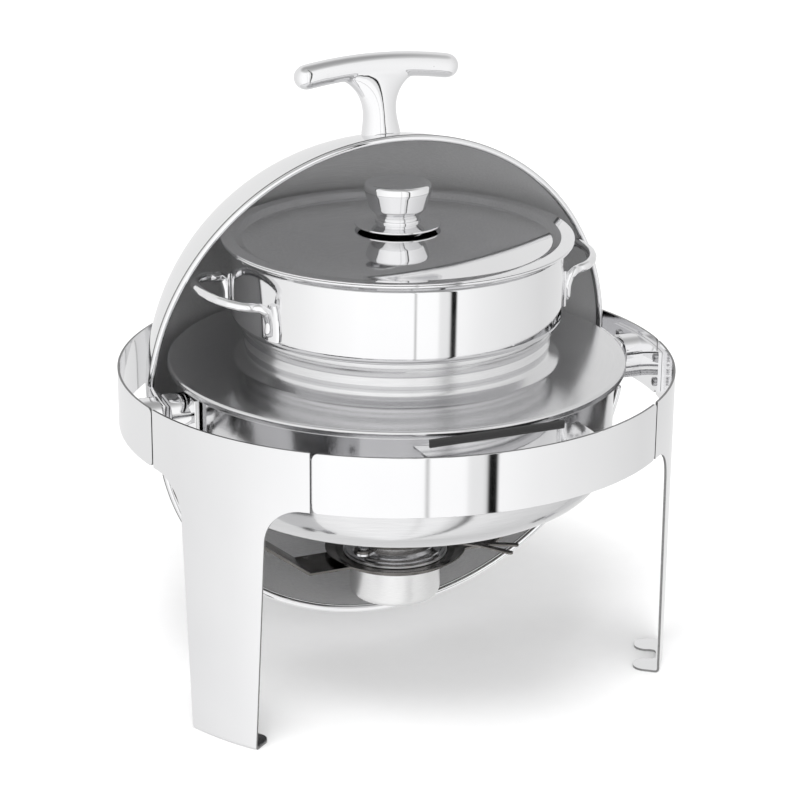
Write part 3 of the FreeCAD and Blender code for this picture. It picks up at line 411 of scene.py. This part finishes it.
def on_ring(width, height, radius=RING_RADIUS, turn=0):
    """A point on an upright drum: width along it from a turn off the front."""
    angle = math.radians(turn) + width / RING_RADIUS
    return Vector((radius * math.sin(angle), -radius * math.cos(angle), height))


def add_fold(thing, width, segments=3):
    """Round off a piece's edges."""
    fold = thing.modifiers.new("soft_edges", "BEVEL")
    fold.width = width * MM
    fold.segments = segments
    fold.limit_method = "ANGLE"
    fold.angle_limit = math.radians(50)
    fold.harden_normals = True


def sheet(shape, name, thickness, materials, edge=0.35):
    """A surface thickened inwards into sheet metal with softened edges."""
    bmesh.ops.remove_doubles(shape, verts=shape.verts, dist=1e-6)
    mesh_data = bpy.data.meshes.new(name)
    shape.to_mesh(mesh_data)
    shape.free()
    mesh_data.shade_smooth()
    thing = to_object(name, mesh_data, materials)
    wall = thing.modifiers.new("sheet", "SOLIDIFY")
    wall.thickness = thickness * MM
    wall.offset = -1
    wall.use_quality_normals = True
    wall.material_offset_rim = len(materials) - 1
    if edge:
        add_fold(thing, edge)
    return thing


# ---------------------------------------------------------------- ring frame

LEG_FOOT_WIDTH = 33.3
LEG_TOP_WIDTH = 44
LEG_FILLET = 31
LEG_HEAD = math.radians(19.85) * RING_RADIUS
STRIP_HALF = math.radians(39.7) * RING_RADIUS
STRIP_ROUND = 5
FOOT_REACH = 24
FOOT_BEND = 3.5
PRONG_ROUND = 10
SLOT_WIDTH = 10
SLOT_END = 5.5
SLOT_ROUND = 5


def leg_rows():
    """Rows down the outside of a leg: (height, half width)."""
    rows = [(BAND_TOP, LEG_HEAD), ((BAND_TOP + BAND_BOTTOM) / 2, LEG_HEAD), (BAND_BOTTOM, LEG_HEAD)]
    steps = 14
    slope = (LEG_TOP_WIDTH - LEG_FOOT_WIDTH) / BAND_BOTTOM
    for step in range(steps + 1):
        angle = math.pi / 2 * step / steps
        height = BAND_BOTTOM - 0.05 - LEG_FILLET * (1 - math.cos(angle))
        edge = LEG_FOOT_WIDTH + slope * height
        rows.append((height, edge + LEG_FILLET * (1 - math.sin(angle))))
    low = rows[-1][0]
    for step in range(1, 9):
        height = low + (FOOT_BEND - low) * step / 8
        rows.append((height, LEG_FOOT_WIDTH + slope * height))
    return rows


def foot_rows():
    """Rows along the foot tab from the bend to the tips: (reach, outer half width, slot half width)."""
    rows = []
    reach_steps = [FOOT_BEND, SLOT_END]
    reach_steps += [SLOT_END + SLOT_ROUND * (1 - math.cos(math.pi / 2 * step / 5)) for step in range(1, 6)]
    straight = FOOT_REACH - PRONG_ROUND
    reach_steps += [straight + PRONG_ROUND * math.sin(math.pi / 2 * step / 9) for step in range(10)]
    for reach in reach_steps:
        slot = 0
        if reach >= SLOT_END:
            into = min(reach - SLOT_END, SLOT_ROUND)
            slot = SLOT_WIDTH - SLOT_ROUND + math.sqrt(max(SLOT_ROUND ** 2 - (SLOT_ROUND - into) ** 2, 0))
        shrink = 0
        if reach > straight:
            shrink = PRONG_ROUND - math.sqrt(max(PRONG_ROUND ** 2 - (reach - straight) ** 2, 0))
        rows.append((reach, LEG_FOOT_WIDTH - shrink, slot + shrink if reach > straight else slot))
    return rows


def row_points(half_width, slot, columns=14):
    """Widths across one row of a leg, in three blocks with the slot in the middle one."""
    side = [half_width + (slot - half_width) * index / columns for index in range(columns + 1)]
    middle = [slot - 2 * slot * index / 8 for index in range(9)]
    return side, middle, [-width for width in reversed(side)]


def make_leg(name, turn):
    """A leg panel, bent round the ring, with its foot turned inwards and slotted."""
    shape = bmesh.new()
    rows = []
    for height, half_width in leg_rows():
        slot = SLOT_WIDTH * half_width / LEG_FOOT_WIDTH
        rows.append(([[on_ring(width, height, turn=turn) for width in block]
                      for block in row_points(half_width, slot)], True))
    for step in range(1, 5):
        angle = math.pi / 2 * step / 4
        height = FOOT_BEND * (1 - math.sin(angle))
        radius = RING_RADIUS - FOOT_BEND * (1 - math.cos(angle))
        rows.append(([[on_ring(width, height, radius, turn) for width in block]
                      for block in row_points(LEG_FOOT_WIDTH, SLOT_WIDTH)], True))
    for reach, half_width, slot in foot_rows()[1:]:
        blocks = row_points(half_width, slot or SLOT_WIDTH)
        rows.append(([[on_ring(width, 0, RING_RADIUS - reach, turn) for width in block]
                      for block in blocks], reach <= SLOT_END))
    made = [([[shape.verts.new(metres(point)) for point in block] for block in blocks], middle)
            for blocks, middle in rows]
    for (upper, _), (lower, has_middle) in zip(made, made[1:]):
        for block in (0, 1, 2):
            if block != 1 or has_middle:
                strip_faces(shape, upper[block], lower[block])
    thing = sheet(shape, name, RING_WALL, [MIRROR, RAW_EDGE_AND_CREASE_SHADE])
    return piece(thing, "frame", "polished_steel", name)


def strip_rows():
    """Heights down a ring strip, each with how far the rounded corner cuts in."""
    rows = []
    for step in range(7):
        angle = math.pi / 2 * step / 6
        rows.append((BAND_TOP - STRIP_ROUND * (1 - math.cos(angle)), STRIP_ROUND * (1 - math.sin(angle))))
    return rows + [(BAND_TOP + BAND_BOTTOM - height, cut) for height, cut in reversed(rows)]


def make_ring_strip(name, turn):
    """A strip of the ring between two legs, with rounded corners."""
    shape = bmesh.new()
    columns = 72
    rows = []
    for height, corner in strip_rows():
        half = STRIP_HALF - corner
        widths = [half - 2 * half * index / columns for index in range(columns + 1)]
        rows.append([shape.verts.new(metres(on_ring(width, height, turn=turn))) for width in widths])
    for upper, lower in zip(rows, rows[1:]):
        strip_faces(shape, upper, lower)
    thing = sheet(shape, name, RING_WALL, [MIRROR, RAW_EDGE_AND_CREASE_SHADE])
    return piece(thing, "frame", "polished_steel", name)


def make_ring():
    make_leg("front_left_leg", -60)
    make_leg("front_right_leg", 60)
    make_leg("rear_leg", 180)
    make_ring_strip("front_ring_strip", 0)
    make_ring_strip("left_ring_strip", -120)
    make_ring_strip("right_ring_strip", 120)


# ---------------------------------------------------------------- lid
# Lid points are worked out closed, with the pivot at the origin, then rolled open.

FRONT_RISE = 29
REAR_DROP = 10
EAR_REACH = 13


def rolled(point, lean=0):
    """A closed-lid point rolled open about the pivot; lean first tips it from the dome's top."""
    turn = Matrix.Rotation(math.radians(lean - LID_OPEN), 3, "X")
    return turn @ Vector(point) + PIVOT


def dome_point(angle, height, radius=LID_RADIUS):
    """A point of the closed dome at an angle from +X and a height above the pivot."""
    flat = math.sqrt(max(radius ** 2 - height ** 2, 0))
    return Vector((flat * math.cos(angle), flat * math.sin(angle), height))


def dome_row(shape, angles, height):
    """One row of the rolled-open dome's points."""
    return [shape.verts.new(metres(rolled(dome_point(angle, height)))) for angle in angles]


def make_dome():
    """The dome's shell, with its lower rear rim and higher front rim."""
    ear_angle = math.asin(EAR_REACH / LID_RADIUS)
    shape = bmesh.new()
    rear = 132
    front = 124
    dome_steps = 64
    skirt_steps = 12
    angles = [-ear_angle + (math.pi + 2 * ear_angle) * index / rear for index in range(rear + 1)]
    front_start = angles[-1]
    front_span = math.tau - (math.pi + 2 * ear_angle)
    angles += [front_start + front_span * index / front for index in range(1, front)]
    crown = math.asin(FRONT_RISE / LID_RADIUS)
    heights = [LID_RADIUS * math.sin(crown + (math.pi / 2 - crown) * index / dome_steps)
               for index in range(dome_steps)]
    skirt = [-REAR_DROP + (FRONT_RISE + REAR_DROP) * index / skirt_steps for index in range(skirt_steps)]
    skirt_rows = [dome_row(shape, angles[:rear + 1], height) for height in skirt]
    rows = [dome_row(shape, angles, height) for height in heights]
    for lower, upper in zip(skirt_rows, skirt_rows[1:]):
        strip_faces(shape, lower, upper)
    strip_faces(shape, skirt_rows[-1], rows[0][:rear + 1])
    for lower, upper in zip(rows, rows[1:]):
        strip_faces(shape, lower, upper, closed=True)
    top = shape.verts.new(metres(rolled((0, 0, LID_RADIUS))))
    for index in range(len(angles)):
        shape.faces.new([rows[-1][index], rows[-1][(index + 1) % len(angles)], top])
    thing = sheet(shape, "lid_dome", LID_WALL, [MIRROR, LID_INSIDE], edge=0)
    thing.modifiers["sheet"].material_offset = 1
    piece(thing, "lid", "polished_steel", "lid_dome")


def rim_line(radius, height, side, margin, count=120):
    """Points round half of the lid; side is 0 for the rear half and pi for the front."""
    angles = [side + margin + (math.pi - 2 * margin) * index / count for index in range(count + 1)]
    return [rolled((radius * math.cos(angle), radius * math.sin(angle), height)) for angle in angles]


def add_rod(shape, line, radius, sides):
    """A round bar of one thickness."""
    tube(shape, line, [radius] * len(line), sides=sides)


def make_lid_rims():
    """The rolled front and rear rims, and thin dark lines beside them: painted shade of the creases there.
    """
    middle = LID_RADIUS - LID_WALL / 2
    front_radius = math.sqrt(middle ** 2 - FRONT_RISE ** 2)
    front_margin = math.asin(EAR_REACH / front_radius)
    rear_radius = 213.5
    rear_margin = math.radians(8)
    front_rod = 2.5
    rear_rod = 3.0
    rims = bmesh.new()
    add_rod(rims, rim_line(front_radius, FRONT_RISE, math.pi, front_margin), front_rod, sides=16)
    add_rod(rims, rim_line(rear_radius, -REAR_DROP, 0, rear_margin), rear_rod, sides=16)
    piece(close(rims, "lid_rims", [MIRROR]), "lid", "polished_steel")
    # Painted shade: thin dark rods along both sides of each rolled rim stand for the shade in its creases.
    crease_shade = bmesh.new()
    shade_line_radius = 0.55
    for inset, rise in ((-2.2, 1.9), (2.3, 1.3)):
        line = rim_line(front_radius + inset, FRONT_RISE + rise, math.pi, front_margin)
        add_rod(crease_shade, line, shade_line_radius, sides=8)
    for radius in (210.4, 216.4):
        add_rod(crease_shade, rim_line(radius, 1 - REAR_DROP, 0, rear_margin), shade_line_radius, sides=8)
    piece(close(crease_shade, "lid_rim_shade_lines", [RAW_EDGE_AND_CREASE_SHADE]), "lid", "polished_steel")


def make_lid_handle():
    """The cast T-shaped handle: an oval stem that spreads smoothly into an arched, round bar."""
    shape = bmesh.new()
    bar_height = 56.5
    bar_radius = 10.6
    arch = 380
    end = math.radians(9.6)
    count = 40
    line = []
    for index in range(count + 1):
        angle = end * (2 * index / count - 1)
        height = LID_RADIUS + bar_height - arch * (1 - math.cos(angle))
        line.append(Vector((arch * math.sin(angle), 0, height)))
    tube(shape, [rolled(point, HANDLE_LEAN) for point in line], [bar_radius] * len(line), sides=32)
    neck_height, flare_width, flare_height = 18, 31, 31
    sections = [(-3, 17.5, 14.5), (4, 16.4, 14), (11, 15, 13.2)]
    for step in range(9):
        angle = math.pi / 2 * step / 8
        sections.append((neck_height + flare_height * math.sin(angle),
                         14.3 + flare_width * (1 - math.cos(angle)), 12.8 - 3.6 * step / 8))
    rows = []
    for height, wide, deep in sections:
        row = []
        for corner in range(40):
            angle = math.tau * corner / 40
            point = (wide * math.cos(angle), deep * math.sin(angle), LID_RADIUS + height)
            row.append(shape.verts.new(metres(rolled(point, HANDLE_LEAN))))
        rows.append(row)
    for lower, upper in zip(rows, rows[1:]):
        strip_faces(shape, lower, upper, closed=True)
    shape.faces.new(rows[0])
    shape.faces.new(rows[-1])
    thing = close(shape, "lid_handle", [MIRROR], sharp=180)
    merge = thing.modifiers.new("merge", "REMESH")
    merge.mode = "VOXEL"
    merge.voxel_size = 0.9 * MM
    merge.use_smooth_shade = True
    smooth = thing.modifiers.new("smooth", "SMOOTH")
    smooth.factor = 0.5
    smooth.iterations = 40
    piece(thing, "lid", "polished_steel", "lid_handle")


# ---------------------------------------------------------------- pan, plate and pot

def make_pan():
    """The water pan, with a rolled rim flange."""
    wall = 1.4
    low = 156
    corners = [(0, low), (184, low, 36), (184, 261.5, 1.5), (190, 261.5, 0.6), (190, 262.9, 0.6),
               (182.6, 262.9, 1.5), (182.6, low + wall, 34.6), (0, low + wall)]
    piece(lathe("water_pan", corners, [PAN], steps=16), "frame", "satin_steel", "water_pan")


def make_cover_plate():
    """The flat plate and its ribbed collar."""
    corners = [(191.4, 263.2), (193.4, 263.2, 0.6), (193.4, 269.2, 2.4), (137, 269.2, 7),
               (126.6, 274.6, 5), (126.5, 280, 0.6), (129, 280.4, 1.2), (129, 284, 2.5),
               (126.4, 289.6, 0.8), (127, 291.4, 0.5), (130, 291.6, 0.8), (130.2, 297, 0.3),
               (129.2, 297.7, 0.3), (130.2, 298.5, 0.4), (130, 303, 1.2), (123, 303, 0.6),
               (123, 301.5), (125, 301.5), (125, 267.7), (191.4, 267.7, 1)]
    piece(lathe("adapter_plate", corners, [SPUN], steps=6), "frame", "polished_steel", "adapter_plate")


def make_pot():
    """The pot, with its flared, rolled rim and its step."""
    corners = [(0, 196), (119, 196, 18), (119, 303.1, 1.5), (139, 303.1, 7), (139, 365.5, 3),
               (146.2, 370, 1.5), (147.4, 372.4, 1), (145, 372.4, 0.6), (137.6, 366.5, 3),
               (137.6, 304.5, 5.6), (117.6, 304.5, 1.2), (117.6, 197.4, 16.6), (0, 197.4)]
    piece(lathe("pot_body", corners, [MIRROR], steps=8), "pot", "polished_steel", "pot_body", "pot_rim")


def make_pot_handle(side):
    """A looped rod whose ends turn down into flattened feet on the wall."""
    direction = 1 if side == "right" else -1
    rod = 3.9
    reach = 178.3
    loop_start = 145
    loop_half_width = 47
    loop_height = 338.5
    loop_slope = 0.16
    shape = bmesh.new()
    arc = []
    for turn in range(-90, 91, 15):
        angle = math.radians(turn)
        across = loop_start + (reach - rod - loop_start) * math.cos(angle)
        arc.append(Vector((across, loop_half_width * math.sin(angle), 0)))
    line = [Vector((133.5, -49, 318)), Vector((134.5, -50, 331)), Vector((139, -50, 338))]
    line += [Vector((point.x, point.y, loop_height + (point.x - POT_RADIUS) * loop_slope))
             for point in arc]
    line += [Vector((139, 50, 338)), Vector((134.5, 50, 331)), Vector((133.5, 49, 318))]
    line = [Vector((point.x * direction, point.y, point.z)) for point in line]
    smooth_line = bezier(line, tension=0.66, steps=6)
    tube(shape, smooth_line, [rod] * len(smooth_line), sides=24)
    for end in (-1, 1):
        foot_widths = [(311, 7.5), (318, 8), (327, 7.5), (336, 6), (341, 4.5)]
        rows = []
        angle_centre = end * math.radians(20.8)
        for height, width in foot_widths:
            row = []
            for corner in range(16):
                angle = math.tau * corner / 16
                along = angle_centre + width * math.cos(angle) / POT_RADIUS
                out = POT_RADIUS + 1.4 + 1.9 * math.sin(angle)
                across = direction * out * math.cos(along)
                row.append(shape.verts.new(metres((across, out * math.sin(along), height))))
            rows.append(row)
        for lower, upper in zip(rows, rows[1:]):
            strip_faces(shape, lower, upper, closed=True)
        shape.faces.new(rows[0])
        shape.faces.new(rows[-1])
    thing = close(shape, f"{side}_pot_handle", [MIRROR], sharp=60)
    piece(thing, "pot", "polished_steel", f"{side}_pot_handle")


def make_pot_lid():
    """The pot lid: a flat rim, a groove inside it and a low, polished dome."""
    groove, seat, wall, crown, low = 129, 24, 1.2, 379.5, 370.5
    steps = 14
    dome = [(0, crown)]
    for step in range(steps):
        part = step / steps
        dome.append((seat + (groove - seat) * part, crown - (crown - low) * part ** 2))
    corners = [(radius, height - wall) for radius, height in dome]
    corners += [(groove, low - wall, 3), (136.4, 372.7, 2), (147, 372.7, 0.5), (147, 373.9, 0.5),
                (136, 373.9, 2), (groove, low, 3)]
    corners += dome[::-1]
    piece(lathe("pot_lid", corners, [MIRROR], steps=6), "pot_lid", "polished_steel", "pot_lid")


def turned(name, corners, material, body, finish, steps, turns):
    """A lathe-turned piece that stands for the CAD node of the same name."""
    piece(lathe(name, corners, [material], steps=steps, turns=turns), body, finish, name)


def make_knob():
    """The knob: a low foot, a thin disc and a grip that widens to a flat top."""
    base = [(0, 379.5), (22, 379.5), (21, 381.5, 0.4), (0, 381.5)]
    turned("knob_base", base, MIRROR, "pot_lid", "polished_steel", steps=4, turns=96)
    disc = [(0, 381.5), (31, 381.5, 1), (36, 382.2, 0.5), (36, 383.6, 0.7), (20.5, 385.2, 1), (0, 385.2)]
    turned("knob_heat_guard", disc, MIRROR, "pot_lid", "polished_steel", steps=6, turns=96)
    grip = [(0, 384.6), (19, 384.6, 0.5), (19, 387, 0.6), (17.6, 387.6, 0.4), (17.6, 390, 2),
            (24, 396.5, 6), (28.2, 411, 9), (28, 418, 3.5), (0, 418.8)]
    turned("knob_grip", grip, MIRROR, "pot_lid", "polished_steel", steps=10, turns=96)


# ---------------------------------------------------------------- burner

def make_burner():
    """The fuel cup and its saucer."""
    cup = [(0, 50), (39.3, 50, 7), (39.3, 84, 0.5), (40.1, 85, 0.5), (40.1, 87, 0.5), (39.3, 88, 0.5),
           (39.3, 89.5), (45.3, 89.5, 0.4), (45.3, 90.6, 0.4), (38.1, 90.6), (38.1, 51.2, 5.8), (0, 51.2)]
    turned("fuel_cup", cup, CUP, "frame", "satin_steel", steps=6, turns=128)
    saucer = [(40, 88.1), (52, 88.1, 4), (61, 92.1, 0.4), (61, 93.3, 0.5), (51.6, 89.3, 4), (40, 89.3)]
    turned("drip_saucer", saucer, DARK, "frame", "polished_steel", steps=5, turns=128)


def make_ledge_shadow_strip():
    """A black strip on the ledge's straight inner edge, clear of the closed lid: painted shadow of the gap
    between the plate's edge and the ledge.
    """
    outline = [(-2.4, 0.05), (-2.2, 2.6), (-1.6, 3.3), (0.1, 3.3), (0.7, 2.6), (0.8, 0.05)]
    ledge_edge = -194.6
    ledge_top = 263
    half_length = 58
    rows = []
    shape = bmesh.new()
    for across in (-half_length, half_length):
        rows.append([shape.verts.new(metres((across, ledge_edge + reach, ledge_top + up)))
                     for reach, up in outline])
    strip_faces(shape, rows[0], rows[1], closed=True)
    shape.faces.new(rows[0])
    shape.faces.new(rows[1][::-1])
    piece(close(shape, "ledge_gap_shadow_strip", [LEDGE_GAP_SHADOW]), "frame", "polished_steel")


def ring_of_points(shape, spot, turn, radii, up):
    """A ring of points round an axis through a spot, with a radius for each point."""
    points = []
    for index, radius in enumerate(radii):
        angle = math.tau * index / len(radii)
        offset = turn @ Vector((radius * math.cos(angle), radius * math.sin(angle), up))
        points.append(shape.verts.new(metres(spot + offset)))
    return points


def screw_head(shape, spot, outward, radius=4, height=2.6):
    """A domed screw head with a cross-shaped recess."""
    outline = [(radius, 0), (radius, height * 0.45), (radius * 0.86, height * 0.78),
               (radius * 0.6, height * 0.96), (radius * 0.42, height)]
    turn = outward.to_track_quat("Z", "Y").to_matrix()
    sides = 24
    rows = [ring_of_points(shape, spot, turn, [across] * sides, up) for across, up in outline]
    for lower, upper in zip(rows, rows[1:]):
        strip_faces(shape, lower, upper, closed=True)
    cross = [radius * (0.4 if corner % 6 in (0, 1, 5) else 0.17) for corner in range(sides)]
    recess_top = ring_of_points(shape, spot, turn, cross, height)
    recess_floor = ring_of_points(shape, spot, turn, [across * 0.8 for across in cross], height * 0.5)
    strip_faces(shape, rows[-1], recess_top, closed=True)
    strip_faces(shape, recess_top, recess_floor, closed=True)
    shape.faces.new(recess_floor)
    shape.faces.new(rows[0][::-1])


def screw_shank(shape, spot, forward, length, radius=2):
    """The short shank behind a screw's head."""
    turn = forward.to_track_quat("Z", "Y").to_matrix()
    rows = [ring_of_points(shape, spot, turn, [radius] * 16, up) for up in (-0.1, length)]
    strip_faces(shape, rows[0], rows[1], closed=True)
    shape.faces.new(rows[0][::-1])
    shape.faces.new(rows[1])


def add_ring_screw(shape, turn, height, radius, length):
    """A screw on the inside of the ring, with its head towards the middle."""
    spot = on_ring(0, height, radius, turn)
    inward = Vector((-spot.x, -spot.y, 0)).normalized()
    screw_head(shape, spot, inward)
    screw_shank(shape, spot, -inward, length)


def make_frame_screws():
    """Domed screws in the joint plates, the pivot brackets and the ledge."""
    shape = bmesh.new()
    turns = [centre + spread for centre in (-40, 40, 160, 200) for spread in (-3, 3)]
    turns += [side * 87.5 + spread for side in (-1, 1) for spread in (-9, 9)]
    for turn in turns:
        for height in (228, 250):
            add_ring_screw(shape, turn, height, radius=229.8, length=3)
    piece(close(shape, "frame_screws", [FASTENER], sharp=30), "frame", "fastener_steel", "frame_screws")
    shape = bmesh.new()
    for turn in (-12, 12):
        add_ring_screw(shape, turn, height=251, radius=230.8, length=2)
    piece(close(shape, "ledge_screws", [FASTENER], sharp=30), "frame", "fastener_steel", "ledge_screws")


def restyle_cad():
    """Give the CAD nodes that stay their materials."""
    finishes = {
        "ring_joint_plates": BRUSHED, "left_pivot_bracket": MIRROR, "right_pivot_bracket": MIRROR,
        "left_pan_hanger": MIRROR, "right_pan_hanger": MIRROR, "left_lid_ear_plate": BRUSHED,
        "right_lid_ear_plate": BRUSHED, "lid_handle_backing_plate": BRUSHED, "burner_strap": DARK,
        "burner_collar": SPUN, "snuffer_cover": DARK, "front_ledge": MIRROR,
    }
    for name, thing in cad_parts.items():
        material = finishes.get(name, FASTENER)
        if thing.material_slots:
            for slot in thing.material_slots:
                slot.material = material
        else:
            thing.data.materials.append(material)


# ---------------------------------------------------------------- studio

def make_floor():
    """A wide pale floor."""
    shape = bmesh.new()
    bmesh.ops.create_circle(shape, cap_ends=True, segments=96, radius=40)
    floor = close(shape, "studio_floor", [studio_floor()])
    floor.visible_glossy = False


def make_sun(name, angle, energy, toward):
    """A broad soft light from one side, kept out of the steel's reflections."""
    data = bpy.data.lights.new(name, "SUN")
    data.angle = math.radians(angle)
    data.energy = energy
    lamp = bpy.data.objects.new(name, data)
    bpy.context.scene.collection.objects.link(lamp)
    lamp.location = -3 * Vector(toward)
    lamp.rotation_euler = Vector(toward).to_track_quat("-Z", "Y").to_euler()
    lamp.visible_glossy = False


def make_world():
    """A white surround, brightest behind the camera, with dark gaps between the studio's panels."""
    world = bpy.data.worlds.new("studio")
    world.use_nodes = True
    nodes = world.node_tree.nodes
    links = world.node_tree.links
    background = nodes["Background"]
    direction = nodes.new("ShaderNodeTexCoord").outputs["Generated"]
    parts = nodes.new("ShaderNodeSeparateXYZ")
    links.new(direction, parts.inputs[0])
    turn = nodes.new("ShaderNodeMath")
    turn.operation = "ARCTAN2"
    links.new(parts.outputs["X"], turn.inputs[0])
    back = nodes.new("ShaderNodeMath")
    back.operation = "MULTIPLY"
    back.inputs[1].default_value = -1
    links.new(parts.outputs["Y"], back.inputs[0])
    links.new(back.outputs[0], turn.inputs[1])
    spread = nodes.new("ShaderNodeMapRange")
    spread.inputs["From Min"].default_value = -math.pi
    spread.inputs["From Max"].default_value = math.pi
    links.new(turn.outputs[0], spread.inputs["Value"])
    ramp = nodes.new("ShaderNodeValToRGB")
    links.new(spread.outputs[0], ramp.inputs["Fac"])
    stops = ramp.color_ramp.elements
    panels = [(-180, 0.74), (-125, 0.76), (-95, 0.84), (-75, 0.93), (-50, 1.0), (-12.2, 1.0),
              (-11.8, 0.5), (-10.8, 0.5), (-10.4, 1.0), (4, 0.98), (6, 0.8), (12.6, 0.78),
              (13, 0.004), (17.6, 0.004), (18, 0.94), (35, 0.85), (55, 0.78), (95, 0.68),
              (125, 0.7), (180, 0.74)]
    while len(stops) < len(panels):
        stops.new(0.5)
    for stop, (angle, brightness) in zip(stops, panels):
        stop.position = (angle + 180) / 360
        stop.color = (brightness, brightness, brightness, 1)
    overhead = nodes.new("ShaderNodeMapRange")
    overhead.inputs["From Min"].default_value = 0.72
    overhead.inputs["From Max"].default_value = 0.92
    overhead.inputs["To Min"].default_value = 1
    overhead.inputs["To Max"].default_value = 0.5
    links.new(parts.outputs["Z"], overhead.inputs["Value"])
    dimmed = nodes.new("ShaderNodeVectorMath")
    dimmed.operation = "MULTIPLY"
    links.new(ramp.outputs["Color"], dimmed.inputs[0])
    links.new(overhead.outputs[0], dimmed.inputs[1])
    links.new(dimmed.outputs[0], background.inputs["Color"])
    background.inputs["Strength"].default_value = 1.2
    bpy.context.scene.world = world


def make_camera():
    """The camera at the photograph's viewing angle."""
    azimuth = math.radians(-24)
    elevation = math.radians(19.632)
    distance = 2.1433
    roll = math.radians(0.513)
    target = Vector((0.0029, -0.0013, 0.2266))
    back = Vector((math.sin(azimuth) * math.cos(elevation), -math.cos(azimuth) * math.cos(elevation),
                   math.sin(elevation)))
    data = bpy.data.cameras.new("camera")
    data.lens = 113.34
    data.sensor_width = 36
    data.clip_end = 100
    camera = bpy.data.objects.new("camera", data)
    bpy.context.scene.collection.objects.link(camera)
    camera.location = target + back * distance
    aim = (-back).to_track_quat("-Z", "Y") @ Quaternion((0, 0, 1), roll)
    camera.rotation_mode = "QUATERNION"
    camera.rotation_quaternion = aim
    bpy.context.scene.camera = camera


def make_studio():
    make_world()
    make_floor()
    make_camera()
    make_sun("overhead", 28, 1.35, (0.25, 0.3, -1))
    make_sun("fill", 80, 2.2, (0.05, 0.95, -0.2))
    bpy.context.scene.view_settings.view_transform = "Standard"


restyle_cad()
make_ring()
make_dome()
make_lid_rims()
make_lid_handle()
make_pan()
make_cover_plate()
make_pot()
make_pot_handle("left")
make_pot_handle("right")
make_pot_lid()
make_knob()
make_burner()
make_frame_screws()
make_ledge_shadow_strip()
make_studio()
